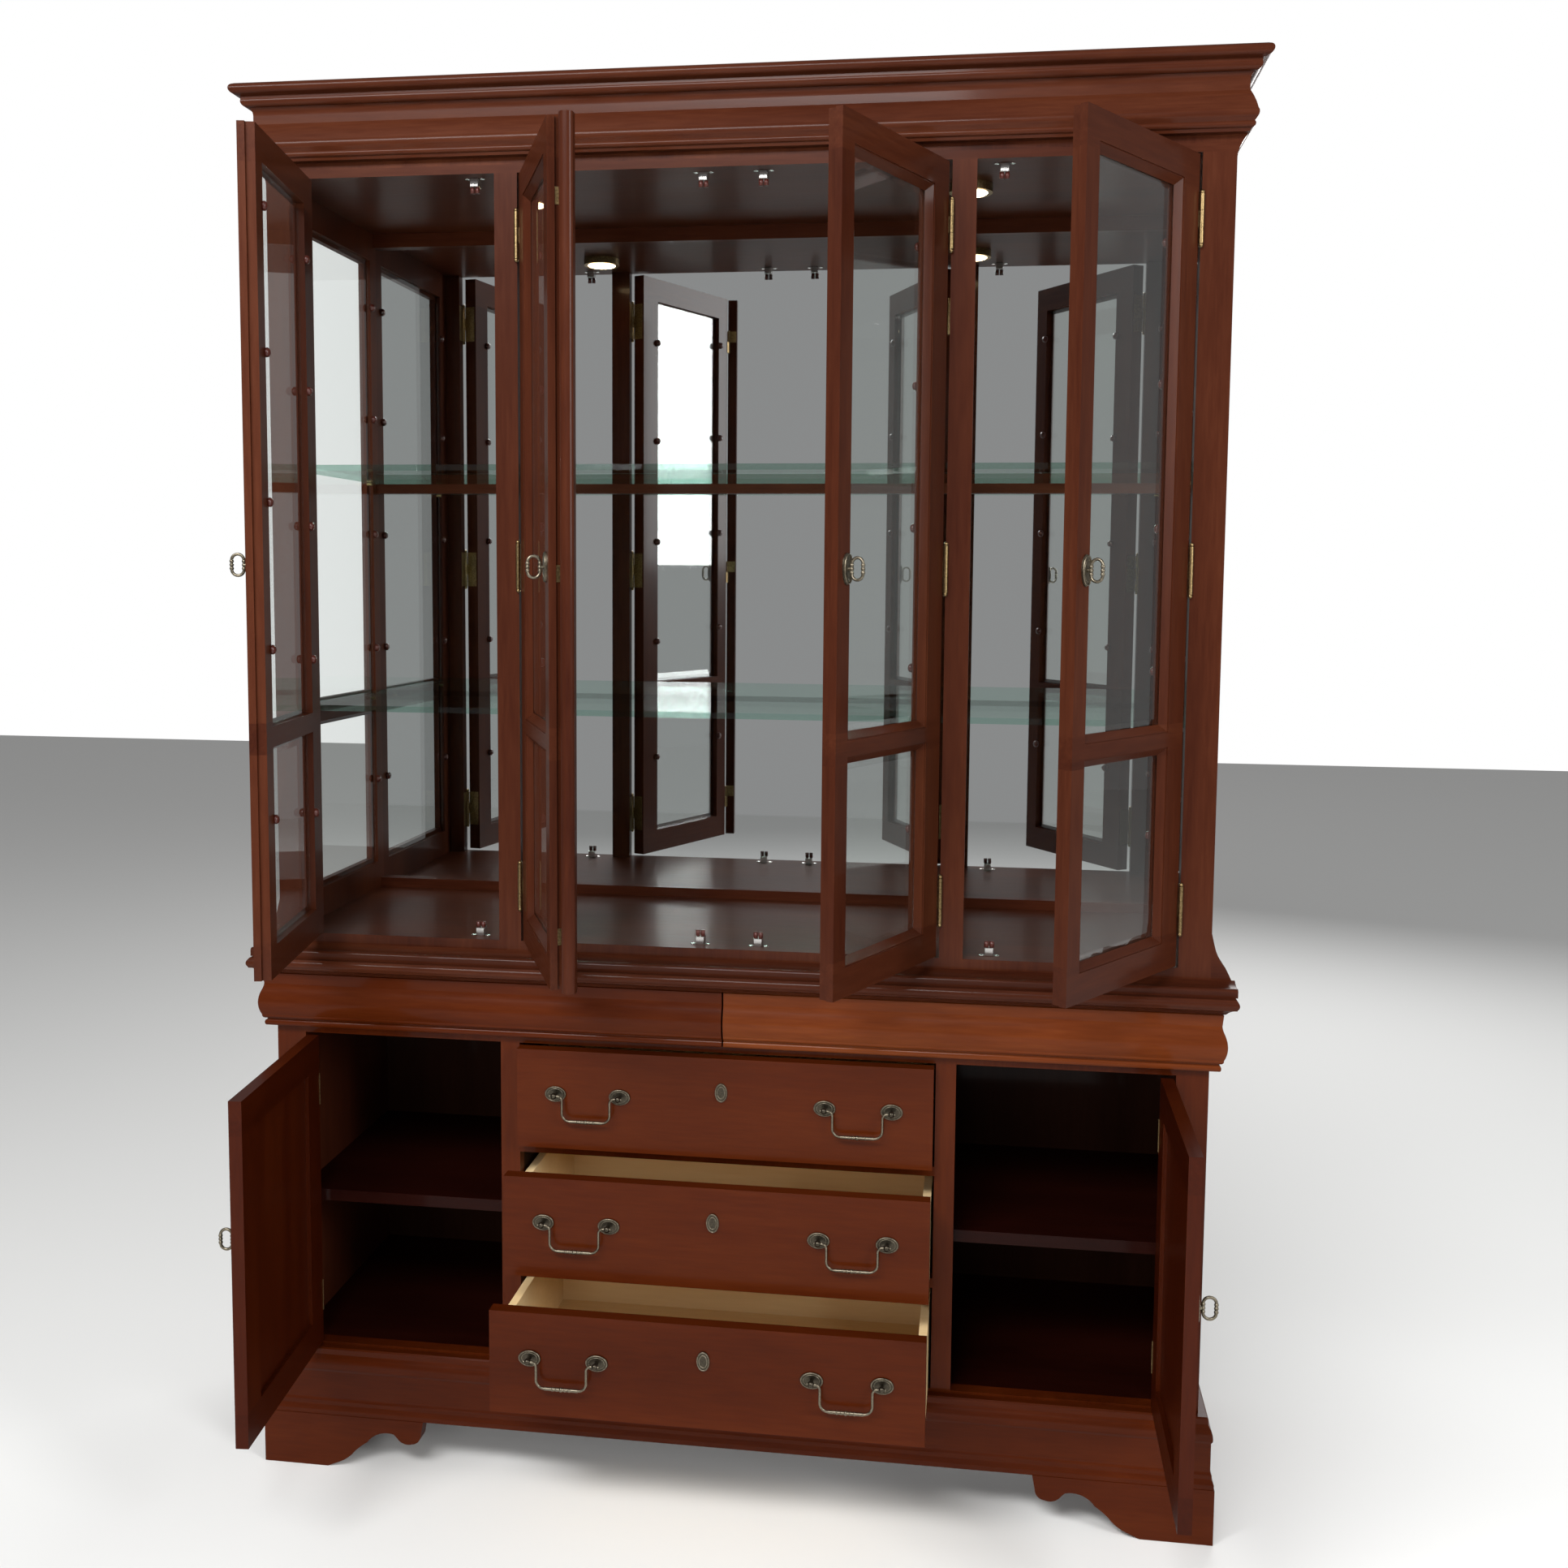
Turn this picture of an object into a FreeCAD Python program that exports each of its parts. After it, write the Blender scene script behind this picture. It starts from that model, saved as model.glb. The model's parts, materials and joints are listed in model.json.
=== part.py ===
import FreeCAD, Part
import math
import os

from FreeCAD import Placement, Rotation, Vector

# China cabinet: a glazed hutch standing on a buffet. Millimetres, +X right, +Y back, +Z up.
# The origin is on the floor, centred across the width, halfway through the depth that the cabinet
# takes with its doors standing open. Depths are measured forward from the back of the case.

DRIVING_SIZES = [
    # overall
    ("cabinet_height", 2080, "floor to top of cornice"),
    ("case_width", 1384, "outside width of hutch and buffet cases"),
    ("buffet_depth", 397, "back of case to buffet face frame"),
    ("front_step", 15, "how far the buffet face stands in front of the hutch face"),
    # heights of the buffet
    ("foot_height", 82, "floor to underside of base moulding"),
    ("base_moulding_height", 102, "height of the base moulding"),
    ("opening_floor", 188, "lower edge of cupboard and drawer openings"),
    ("opening_height", 489, "height of cupboard and drawer openings"),
    ("frieze_rail", 11, "rail between openings and frieze drawers"),
    ("frieze_height", 84, "height of the frieze drawer fronts"),
    ("top_thickness", 24, "thickness of the buffet top"),
    # heights of the hutch
    ("hutch_sill", 32, "hutch bottom rail above the buffet top"),
    ("cornice_height", 108, "height of the cornice"),
    ("head_rail", 22, "hutch rail between door opening and cornice"),
    # face frames
    ("frame_thickness", 20, "thickness of both face frames"),
    ("corner_stile", 45, "width of the outer face frame stiles"),
    ("bay_stile", 34, "width of the hutch stiles between bays"),
    ("centre_half", 311, "half the width of the hutch centre bay"),
    ("drawer_half", 310, "half the width of the drawer openings"),
    ("divider_stile", 29, "width of the stiles beside the drawers"),
    ("drawer_rail", 14, "rail between two drawers"),
    # boards
    ("board", 18, "case boards"),
    ("back_thickness", 6, "back boards"),
    ("mirror_thickness", 4, "mirror"),
    ("strip_depth", 12, "wood strips on the mirror"),
    ("strip_height", 16, "lower mirror strip and shelf rail"),
    ("head_strip_height", 23, "upper mirror strip"),
    # hutch doors
    ("door_gap", 3, "gap round every door"),
    ("door_thickness", 22, "hutch doors"),
    ("hinge_stile", 54, "hutch door stile at the hinges"),
    ("meeting_stile", 42, "hutch door stile at the free edge"),
    ("door_rail", 50, "top and bottom rails of a hutch door"),
    ("door_mid_rail", 42, "rail between the panes"),
    ("mid_rail_height", 303, "door bottom to lower edge of the rail between the panes"),
    ("sticking", 11, "width of the moulded edge round a pane"),
    ("rebate", 7, "glass rebate beyond the sight edge"),
    ("rebate_depth", 10, "door face to front of glass"),
    ("pane_thickness", 4, "door and side glass"),
    ("pane_bevel", 14, "width of the bevel ground round each pane"),
    ("side_stile", 42, "stiles of the side frames"),
    ("centre_stile_width", 18, "hinged stile between the two middle doors"),
    ("centre_stile_thickness", 16, "hinged stile between the two middle doors"),
    ("centre_axis_side", 4.5, "axis of the centre stile beyond the door edge"),
    ("centre_axis_back", 20, "axis of the centre stile behind the door face"),
    ("centre_knuckle", 3, "barrels of the centre stile hinges"),
    ("centre_pin", 1.2, "pins of the centre stile hinges"),
    ("centre_hinge", 44, "centre stile hinge length"),
    ("centre_plate", 1.2, "hinge plates on the centre left door"),
    ("stile_plate", 1.5, "hinge plates on the centre stile"),
    ("stile_plate_inset", 1, "plate short of the far edge of the centre stile"),
    ("edge_step", 4, "step in the free edge of a hutch door"),
    ("edge_lip", 10, "thickness of the lip outside that step"),
    # standing angles, from closed
    ("angle_left", 79.5, "hutch left door"),
    ("angle_centre_left", 66.5, "hutch centre left door"),
    ("angle_centre_right", 65.5, "hutch centre right door"),
    ("angle_right", 56.5, "hutch right door"),
    ("angle_centre_stile", 66.5, "centre stile, from its door"),
    ("angle_cupboard_left", 85, "left cupboard door"),
    ("angle_cupboard_right", 90, "right cupboard door"),
    # shelves
    ("glass_shelf", 9, "glass shelf thickness"),
    ("glass_shelf_setback", 36, "shelf front edge behind the hutch face"),
    ("lower_shelf_height", 337, "lower glass shelf above the hutch floor"),
    ("upper_shelf_height", 701, "upper glass shelf above the hutch floor"),
    ("cupboard_shelf_height", 212, "cupboard shelf above the opening floor"),
    ("cupboard_shelf_setback", 12, "cupboard shelf behind the face frame"),
    # cupboard doors
    ("cupboard_door_thickness", 18, "cupboard doors"),
    ("cupboard_stile", 48, "cupboard door frame members"),
    ("panel_thickness", 6, "cupboard door panel"),
    ("panel_recess", 6, "door face to panel"),
    # drawers
    ("drawer_gap", 2.5, "gap round a drawer front"),
    ("front_thickness", 20, "drawer fronts"),
    ("drawer_side", 12, "drawer box boards"),
    ("drawer_bottom", 6, "drawer box bottoms"),
    ("box_height", 118, "drawer box height"),
    ("box_depth", 335, "drawer box depth"),
    ("runner_width", 14, "drawer runners"),
    ("runner_height", 12, "drawer runners"),
    ("slide_clearance", 0.5, "drawer box above its runner"),
    ("pull_top", 22, "top drawer drawn out"),
    ("pull_middle", 90, "middle drawer drawn out"),
    ("pull_bottom", 162, "bottom drawer drawn out"),
    ("frieze_box_height", 62, "frieze drawer box"),
    ("frieze_box_depth", 300, "frieze drawer box"),
    # hardware
    ("knuckle_radius", 3.5, "hinge barrels"),
    ("pin_radius", 1.6, "hinge pins"),
    ("pin_fit", 0.05, "radial clearance on every pin"),
    ("hinge_clearance", 0.4, "hinge barrels in front of the face"),
    ("leaf", 0.6, "hinge leaf thickness"),
    ("finial", 3.2, "ball tips of the hinges"),
    ("leaf_depth", 19, "hinge leaf width"),
    ("hutch_hinge", 66, "hutch hinge length"),
    ("cupboard_hinge", 48, "cupboard hinge length"),
    ("knuckle_gap", 0.4, "end clearance between knuckles"),
    ("hinge_low", 81, "lowest hutch hinge above the door bottom"),
    ("hinge_high", 86, "highest hutch hinge below the door top"),
    ("bail_centres", 97, "between the two posts of a drawer pull"),
    ("bail_drop", 37, "drop of a drawer pull"),
    ("bail_wire", 1.8, "drawer pull wire radius"),
    ("pull_spacing", 400, "between the two pulls of a drawer"),
    ("post_reach", 12, "pull posts in front of the face"),
    ("foot_projection", 23, "feet in front of the case"),
    ("foot_board", 22, "thickness of the foot boards"),
    ("base_projection", 22, "base moulding at its foot"),
    ("hutch_base_projection", 33, "moulding at the foot of the hutch"),
    ("mitre_reach", 30, "length of the waist moulding past the corner before mitring"),
    ("mitre_gap", 0.6, "gap between drawer front and side return"),
    ("return_run", 24, "side return in front of the case before its mitre is cut"),
    ("frieze_lift", 1.5, "frieze drawer front above its opening's floor"),
    ("frieze_seam", 2.5, "gap between the two frieze drawers"),
    ("glass_play", 1, "room round a pane in its rebate"),
    ("shelf_play", 1, "room at each end of a glass shelf"),
    ("quirk", 1.5, "step at the edge of the door moulding"),
    ("pin_back", 60, "rear shelf pins in front of the back"),
    ("pin_front", 300, "front shelf pins in front of the back"),
    ("pin_length", 9, "shelf pins"),
    ("shelf_pin", 2.5, "shelf pin radius"),
    ("catch_outer", 382.5, "catch of an outer door from the middle"),
    ("catch_inner", 43.5, "catch of a middle door from the middle"),
    ("catch_clearance", 0.6, "catch behind the closed door"),
    ("catch_length", 16, "catch front to back"),
    ("catch_width", 12, "catch across"),
    ("light_radius", 32, "puck lights"),
    ("light_height", 12, "puck lights"),
    ("light_place", 335, "puck lights from the middle"),
    ("light_depth", 240, "puck lights in front of the back"),
    ("cupboard_hinge_low", 73, "lower cupboard hinge above the door bottom"),
    ("cupboard_hinge_high", 84, "upper cupboard hinge below the door top"),
    ("cupboard_pull_height", 283, "cupboard pull above the door bottom"),
    ("pull_inset", 22, "door pull from the free edge"),
    ("pull_height", 553, "hutch door pull above the door bottom"),
    ("plate_half_width", 11, "oval door plate"),
    ("plate_half_height", 20, "oval door plate"),
    ("plate_thickness", 2, "all brass plates"),
    ("bow_radius", 8, "loop of a door pull"),
    ("bow_wire", 2, "loop of a door pull"),
    ("bow_straight", 12, "upright sides of the loop"),
    ("bow_stem", 6, "stem between plate and loop"),
    ("bow_bead", 2.8, "beads on the loop"),
    ("centre_round", 5, "rounding of the centre stile"),
    ("box_side_gap", 4, "drawer box beside its partition"),
    ("pull_rise", 9, "drawer pull posts above the middle of the front"),
    ("rosette_half_width", 16, "oval rosette"),
    ("rosette_half_height", 11.5, "oval rosette"),
    ("post_stem", 2.6, "pull post"),
    ("post_knob", 4.6, "pull post knob"),
    ("bail_inset", 12.5, "neck of a drop handle inside the middle of its post"),
    ("neck_bend", 7, "bend of a drop handle at each pin"),
    ("bail_bend", 12, "bend of a drop handle at each end of its grip"),
    ("grip_radius", 2.4, "thick part of a drop handle's grip"),
    ("grip_bead", 3.4, "middle bead of a drop handle"),
    ("grip_bead_step", 6, "between two beads of a grip"),
    ("bail_side_gap", 0.8, "pin of a drop handle beyond its post"),
    ("escutcheon_rise", 24, "keyhole plate above the middle of the front"),
    ("escutcheon_half_width", 9, "keyhole plate"),
    ("escutcheon_half_height", 14, "keyhole plate"),
]

doc = FreeCAD.newDocument("china_cabinet")
sheet = doc.addObject("Spreadsheet::Sheet", "Sizes")


class Size:
    """A sheet cell or a sum of cells: its number, and the expression the document keeps."""

    def __init__(self, value, text):
        self.value = value
        self.text = text

    @staticmethod
    def of(other):
        if isinstance(other, Size):
            return other
        return Size(float(other), f"({float(other):.6g})")

    def join(self, sign, other, value):
        return Size(value, f"({self.text} {sign} {other.text})")

    def __add__(self, other):
        other = Size.of(other)
        return self.join("+", other, self.value + other.value)

    def __radd__(self, other):
        return Size.of(other) + self

    def __sub__(self, other):
        other = Size.of(other)
        return self.join("-", other, self.value - other.value)

    def __rsub__(self, other):
        return Size.of(other) - self

    def __mul__(self, other):
        other = Size.of(other)
        return self.join("*", other, self.value * other.value)

    def __rmul__(self, other):
        return Size.of(other) * self

    def __truediv__(self, other):
        other = Size.of(other)
        return self.join("/", other, self.value / other.value)

    def __neg__(self):
        return self * -1

    def cos(self):
        return Size(math.cos(math.radians(self.value)), f"cos({self.text} * 1 deg)")

    def sin(self):
        return Size(math.sin(math.radians(self.value)), f"sin({self.text} * 1 deg)")

    def __float__(self):
        return self.value


class Cells:
    """Every driving size by name, as a Size that refers to its cell."""


def fill_sheet():
    cells = Cells()
    for row, (alias, number, note) in enumerate(DRIVING_SIZES, start=1):
        sheet.set(f"A{row}", alias)
        sheet.set(f"B{row}", str(number))
        sheet.setAlias(f"B{row}", alias)
        sheet.set(f"C{row}", note)
        setattr(cells, alias, Size(float(number), f"Sizes.{alias}"))
    doc.recompute()
    return cells


S = fill_sheet()

# Allowances of the drawing itself, not of the cabinet.
OVERSHOOT = 1  # how far a cutting shape runs past what it cuts
GRAZE = 0.001  # the same, where more would show
SAME_POINT = 1e-6  # ends of an outline nearer than this are joined

# Levels and planes that many pieces share.
HALF = S.case_width / 2
OPENING_HALF = HALF - S.corner_stile
DIVIDER_HALF = S.drawer_half + S.divider_stile
BAY_HALF = S.centre_half + S.bay_stile
OPENING_TOP = S.opening_floor + S.opening_height
FRIEZE_FLOOR = OPENING_TOP + S.frieze_rail
TOP_FLOOR = FRIEZE_FLOOR + S.frieze_height
HUTCH_FLOOR = TOP_FLOOR + S.top_thickness
SILL = HUTCH_FLOOR + S.hutch_sill
CORNICE_FLOOR = S.cabinet_height - S.cornice_height
CEILING = CORNICE_FLOOR - S.head_rail
HUTCH_DEPTH = S.buffet_depth - S.front_step
DOOR_FLOOR = SILL + S.door_gap
DOOR_HEIGHT = CEILING - SILL - 2 * S.door_gap
SIDE_DOOR_WIDTH = OPENING_HALF - BAY_HALF - S.door_gap
MIDDLE_DOOR_WIDTH = S.centre_half - S.centre_stile_width / 2 - 1.5 * S.door_gap
CUPBOARD_DOOR_WIDTH = OPENING_HALF - DIVIDER_HALF - S.door_gap
CUPBOARD_FLOOR = S.opening_floor + S.door_gap
CUPBOARD_DOOR_HEIGHT = S.opening_height - 2 * S.door_gap
HALF_GAP = S.door_gap / 2
AXIS_OUT = S.knuckle_radius + S.hinge_clearance


def door_reach(face_depth, width, angle):
    """How far the outer corner of a standing door comes in front of the back of the case."""
    return face_depth + AXIS_OUT + (HALF_GAP + width) * angle.sin() - AXIS_OUT * angle.cos()


REACH = max(float(reach) for reach in (
    door_reach(HUTCH_DEPTH, SIDE_DOOR_WIDTH, S.angle_left),
    door_reach(HUTCH_DEPTH, SIDE_DOOR_WIDTH, S.angle_right),
    door_reach(S.buffet_depth, CUPBOARD_DOOR_WIDTH, S.angle_cupboard_left),
    door_reach(S.buffet_depth, CUPBOARD_DOOR_WIDTH, S.angle_cupboard_right),
))


def add_derived_cell(alias, number, note):
    row = len(DRIVING_SIZES) + 1
    sheet.set(f"A{row}", alias)
    sheet.set(f"B{row}", f"{number:.6f}")
    sheet.setAlias(f"B{row}", alias)
    sheet.set(f"C{row}", note)
    doc.recompute()
    return Size(float(f"{number:.6f}"), f"Sizes.{alias}")


BACK = add_derived_cell("back_of_case", REACH / 2, "origin to the back of the case")


def depth(distance):
    """The Y of a plane this far in front of the back of the case."""
    return BACK - distance


NODES = {}


def bind(obj, **sizes):
    for name, size in sizes.items():
        obj.setExpression(name, Size.of(size).text)


def move(obj, x=0, y=0, z=0, axis=None, angle=0):
    """Place an object; the sizes stay bound to the sheet."""
    if axis is not None:
        obj.Placement = Placement(Vector(0, 0, 0), Rotation(axis, float(angle)))
    for name, size in (("x", x), ("y", y), ("z", z)):
        obj.setExpression(f"Placement.Base.{name}", Size.of(size).text)
    if axis is not None:
        obj.setExpression("Placement.Rotation.Angle", Size.of(angle).text)
    return obj


def slab(name, x, y, z):
    """A board between three pairs of planes."""
    box = doc.addObject("Part::Box", name)
    bind(box, Length=x[1] - x[0], Width=y[1] - y[0], Height=z[1] - z[0])
    return move(box, x[0], y[0], z[0])


TURNS = {"z": (None, 0), "x": (Vector(0, 1, 0), 90), "-y": (Vector(1, 0, 0), 90)}


def rod(name, radius, length, x=0, y=0, z=0, along="z"):
    """A cylinder that starts at a point and runs along one axis."""
    cylinder = doc.addObject("Part::Cylinder", name)
    bind(cylinder, Radius=radius, Height=length)
    return move(cylinder, x, y, z, *TURNS[along])


def ball(name, radius, x, y, z, poles="z"):
    """A ball whose poles lie along one axis: that of the rod it sits on."""
    sphere = doc.addObject("Part::Sphere", name)
    bind(sphere, Radius=radius)
    return move(sphere, x, y, z, *TURNS[poles])


def disc(name, half_wide, half_tall, length, x, y, z):
    """A flat oval plate, standing in the XZ plane and running forward along -Y."""
    oval = doc.addObject("Part::Ellipse", name + "_outline")
    tall = float(half_tall) > float(half_wide)
    bind(oval, MajorRadius=half_tall if tall else half_wide, MinorRadius=half_wide if tall else half_tall)
    if tall:
        oval.Placement = Placement(Vector(0, 0, 0), Rotation(Vector(0, 0, 1), 90))
    plate = doc.addObject("Part::Extrusion", name)
    plate.Base = oval
    plate.DirMode = "Custom"
    plate.Dir = Vector(0, 0, 1)
    plate.Solid = True
    bind(plate, LengthFwd=length)
    return move(plate, x, y, z, Vector(1, 0, 0), 90)


def frustum(name, x, y, z, front_inset=0, back_inset=0):
    """A block whose front face, at y[0], or back face, at y[1], is drawn in all round."""
    front = Size.of(front_inset)
    back = Size.of(back_inset)
    wedge = doc.addObject("Part::Wedge", name)
    for end, (low, high) in (("X", x), ("Z", z)):
        bind(wedge, **{end + "min": low + front, end + "max": high - front,
                       end + "2min": low + back, end + "2max": high - back})
    bind(wedge, Ymin=y[0], Ymax=y[1])
    return wedge


def fuse(name, pieces):
    union = doc.addObject("Part::MultiFuse", name)
    union.Shapes = pieces
    return union


def cut(name, base, tools):
    tool = tools[0] if len(tools) == 1 else fuse(name + "_tools", tools)
    difference = doc.addObject("Part::Cut", name)
    difference.Base = base
    difference.Tool = tool
    return difference


def group(name, pieces):
    """Separate solids that share one node."""
    compound = doc.addObject("Part::Compound", name)
    compound.Links = pieces
    return compound


def node(name, obj):
    obj.Label = name
    NODES[name] = obj
    return obj


def mirrored(side, near, far):
    """The pair of X planes on one side of the middle, in rising order."""
    return (near, far) if side > 0 else (-far, -near)


# Sketches and bodies

def origin_plane(body, role):
    return [item for item in body.Origin.OriginFeatures if item.Role == role][0]


def sketch_on(body, role, name):
    sketch = body.newObject("Sketcher::SketchObject", name)
    sketch.AttachmentSupport = [(origin_plane(body, role), "")]
    sketch.MapMode = "FlatFace"
    return sketch


def draw_path(sketch, start, path):
    """Draw a run of steps, each ("line", end) or ("arc", middle, end), and return its end."""
    here = start
    for step in path:
        end = step[-1]
        if step[0] == "line":
            sketch.addGeometry(Part.LineSegment(Vector(*here, 0), Vector(*end, 0)), False)
        else:
            arc = Part.Arc(Vector(*here, 0), Vector(*step[1], 0), Vector(*end, 0))
            sketch.addGeometry(arc, False)
        here = end
    return here


def draw_outline(sketch, start, path):
    """Draw a run of steps and close it."""
    end = draw_path(sketch, start, path)
    if math.dist(end, start) > SAME_POINT:
        sketch.addGeometry(Part.LineSegment(Vector(*end, 0), Vector(*start, 0)), False)


def pad(body, sketch, length, middle=False):
    feature = body.newObject("PartDesign::Pad", sketch.Name + "_pad")
    feature.Profile = sketch
    feature.Midplane = middle
    bind(feature, Length=length)
    return feature


def profile_body(name, role, start, path, length, x=0, y=0, z=0, middle=False):
    """One closed outline padded along the normal of an origin plane."""
    body = doc.addObject("PartDesign::Body", name)
    sketch = sketch_on(body, role, name + "_outline")
    draw_outline(sketch, start, path)
    pad(body, sketch, length, middle)
    return move(body, x, y, z)


def reversed_path(start, path):
    """The same outline walked backwards."""
    points = [start] + [step[-1] for step in path]
    steps = []
    for index in range(len(path) - 1, -1, -1):
        step = path[index]
        here = points[index]
        steps.append(("line", here) if step[0] == "line" else ("arc", step[1], here))
    return points[-1], steps


def mapped(start, path, change):
    return change(start), [tuple([step[0]] + [change(point) for point in step[1:]]) for step in path]


def returned_moulding(name, start, path, face_depth, floor):
    """A moulding of (projection, height) steps round the front and both sides of the case, as a
    solid block: the front profile and the side profile meet in true mitres."""
    low, high = start, path[-1][-1]
    deep = float(face_depth)
    front_start, front_path = mapped(start, path, lambda point: (-point[0], point[1]))
    front_path = front_path + [("line", (deep, high[1])), ("line", (deep, low[1]))]
    front = profile_body(name + "_front", "YZ_Plane", front_start, front_path,
                         S.case_width * 2, 0, depth(face_depth), floor, middle=True)
    half = float(HALF)
    side_start, side_path = mapped(start, path, lambda point: (half + point[0], point[1]))
    left_start, left_path = mapped(start, path, lambda point: (-half - point[0], point[1]))
    left_top, left_down = reversed_path(left_start, left_path)
    side_path = side_path + [("line", left_top)] + left_down
    sides = profile_body(name + "_sides", "XZ_Plane", side_start, side_path,
                         face_depth * 2, 0, BACK, floor)
    common = doc.addObject("Part::Common", name)
    common.Base = front
    common.Tool = sides
    return common


def hollow(name, block, face_depth, wall, floor, height):
    """Take the core out of a block that runs round the case."""
    core = slab(name + "_core", (-HALF + wall, HALF - wall), (depth(face_depth - wall), BACK + wall),
                (floor - OVERSHOOT, floor + height + OVERSHOOT))
    return cut(name + "_ring", block, [core])


# Base of the buffet. Outlines of mouldings and feet are lists of corners and of points on their curves:
# (how far out from the case, how high), measured from the corner where the piece starts.

FOOT_OUTLINE = [
    ("line", (-102, 0)), ("line", (-121, 8)), ("arc", (-135, 16), (-147, 28)),
    ("arc", (-156, 36), (-166, 43)), ("arc", (-183, 57), (-209, 59)), ("line", (-214, 54)),
    ("arc", (-224, 46), (-238, 46)), ("arc", (-249, 52), (-252, 61)), ("line", (-256, 80)),
]


def foot(name, side, front):
    """A bracket foot: two scrolled boards that meet at the corner of the case."""
    wide = float(S.foot_projection)
    high = float(S.foot_height)
    outline = [step[:-1] + ((step[-1][0], min(step[-1][1], high)),) for step in FOOT_OUTLINE]
    outline[-1] = ("line", (FOOT_OUTLINE[-1][1][0], high))
    flip = [tuple([step[0]] + [(side * (wide + point[0]), point[1]) for point in step[1:]])
            for step in outline]
    start = (side * wide, 0)
    flip.append(("line", (side * wide, high)))
    board = S.foot_board
    face = S.buffet_depth + S.foot_projection if front else board
    pieces = []
    if front:
        pieces.append(profile_body(name + "_face", "XZ_Plane", start, flip, board,
                                   side * HALF, depth(face - board), 0))
    y_start = depth(S.buffet_depth + S.foot_projection) if front else BACK
    turn = 1 if front else -1
    side_outline = [tuple([step[0]] + [(turn * -point[0], point[1]) for point in step[1:]])
                    for step in outline]
    side_outline.append(("line", (0, high)))
    x_plane = HALF + S.foot_projection - board if side > 0 else -HALF - S.foot_projection
    pieces.append(profile_body(name + "_return", "YZ_Plane", (0, 0), side_outline, board,
                               x_plane, y_start, 0))
    return pieces


def make_feet():
    pieces = []
    for side, side_name in ((-1, "left"), (1, "right")):
        for front, end_name in ((True, "front"), (False, "rear")):
            boards = foot(f"foot_{side_name}_{end_name}", side, front)
            pieces.append(fuse(f"foot_{side_name}_{end_name}", boards) if front else boards[0])
    node("bracket_feet", group("feet", pieces))


def make_base_moulding():
    start = (float(S.base_projection), 0)
    path = [("line", (22, 7)), ("arc", (20.5, 11), (19, 14)), ("line", (19, 20)),
            ("arc", (17.2, 24), (17, 28)), ("line", (17, 66)), ("line", (19, 70)),
            ("arc", (18.5, 80), (15, 88)), ("line", (13, 92)), ("line", (13, 100)), ("line", (11, 102))]
    block = returned_moulding("base_block", start, path, S.buffet_depth, S.foot_height)
    node("base_moulding", hollow("base", block, S.buffet_depth, S.board, S.foot_height,
                                 S.base_moulding_height))


# Case of the buffet

BUFFET_BACK = S.back_thickness
BASE_TOP = S.foot_height + S.base_moulding_height
FACE_BACK = S.buffet_depth - S.frame_thickness


def make_buffet_sides():
    sides = [slab(f"buffet_side_{name}", mirrored(side, HALF - S.board, HALF),
                  (depth(FACE_BACK), BACK), (BASE_TOP, TOP_FLOOR))
             for side, name in ((-1, "left"), (1, "right"))]
    node("buffet_sides", group("sides", sides + waist_returns()))


def drawer_level(number):
    """Floor of drawer opening 1 (top), 2 or 3 (bottom)."""
    clear = (S.opening_height - 2 * S.drawer_rail) / 3
    return S.opening_floor + (3 - number) * (clear + S.drawer_rail)


DRAWER_CLEAR = (S.opening_height - 2 * S.drawer_rail) / 3


def make_buffet_inner():
    inside = HALF - S.board
    pieces = [slab("buffet_bottom", (-inside, inside), (depth(FACE_BACK), depth(BUFFET_BACK)),
                   (S.opening_floor - S.board, S.opening_floor))]
    deck = FRIEZE_FLOOR - S.frieze_rail
    pieces.append(slab("frieze_deck", (-inside, inside), (depth(FACE_BACK), depth(BUFFET_BACK)),
                       (deck, FRIEZE_FLOOR)))
    for side, name in ((-1, "left"), (1, "right")):
        pieces.append(slab(f"partition_{name}", mirrored(side, S.drawer_half, S.drawer_half + S.board),
                           (depth(FACE_BACK), depth(BUFFET_BACK)), (S.opening_floor, deck)))
        for number in (1, 2):
            level = drawer_level(number)
            pieces.append(slab(f"runner_{number}_{name}",
                               mirrored(side, S.drawer_half - S.runner_width, S.drawer_half),
                               (depth(FACE_BACK), depth(BUFFET_BACK)), (level - S.runner_height, level)))
    pieces.append(slab("frieze_guide", (-S.drawer_side / 2, S.drawer_side / 2),
                       (depth(FACE_BACK), depth(BUFFET_BACK)), (FRIEZE_FLOOR, TOP_FLOOR)))
    node("buffet_inner_panels", group("inner", pieces + cupboard_shelves()))


def make_face_frame():
    y = (depth(S.buffet_depth), depth(FACE_BACK))
    pieces = []
    for side, name in ((-1, "left"), (1, "right")):
        pieces.append(slab(f"corner_stile_{name}", mirrored(side, OPENING_HALF, HALF), y,
                           (BASE_TOP, TOP_FLOOR)))
        pieces.append(slab(f"divider_{name}", mirrored(side, S.drawer_half, DIVIDER_HALF), y,
                           (S.opening_floor, OPENING_TOP)))
    pieces.append(slab("lower_rail", (-OPENING_HALF, OPENING_HALF), y, (BASE_TOP, S.opening_floor)))
    pieces.append(slab("frieze_rail_bar", (-OPENING_HALF, OPENING_HALF), y, (OPENING_TOP, FRIEZE_FLOOR)))
    for number in (1, 2):
        level = drawer_level(number)
        pieces.append(slab(f"drawer_rail_{number}", (-S.drawer_half, S.drawer_half), y,
                           (level - S.drawer_rail, level)))
    node("buffet_face_frame", fuse("buffet_frame", pieces))


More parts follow.
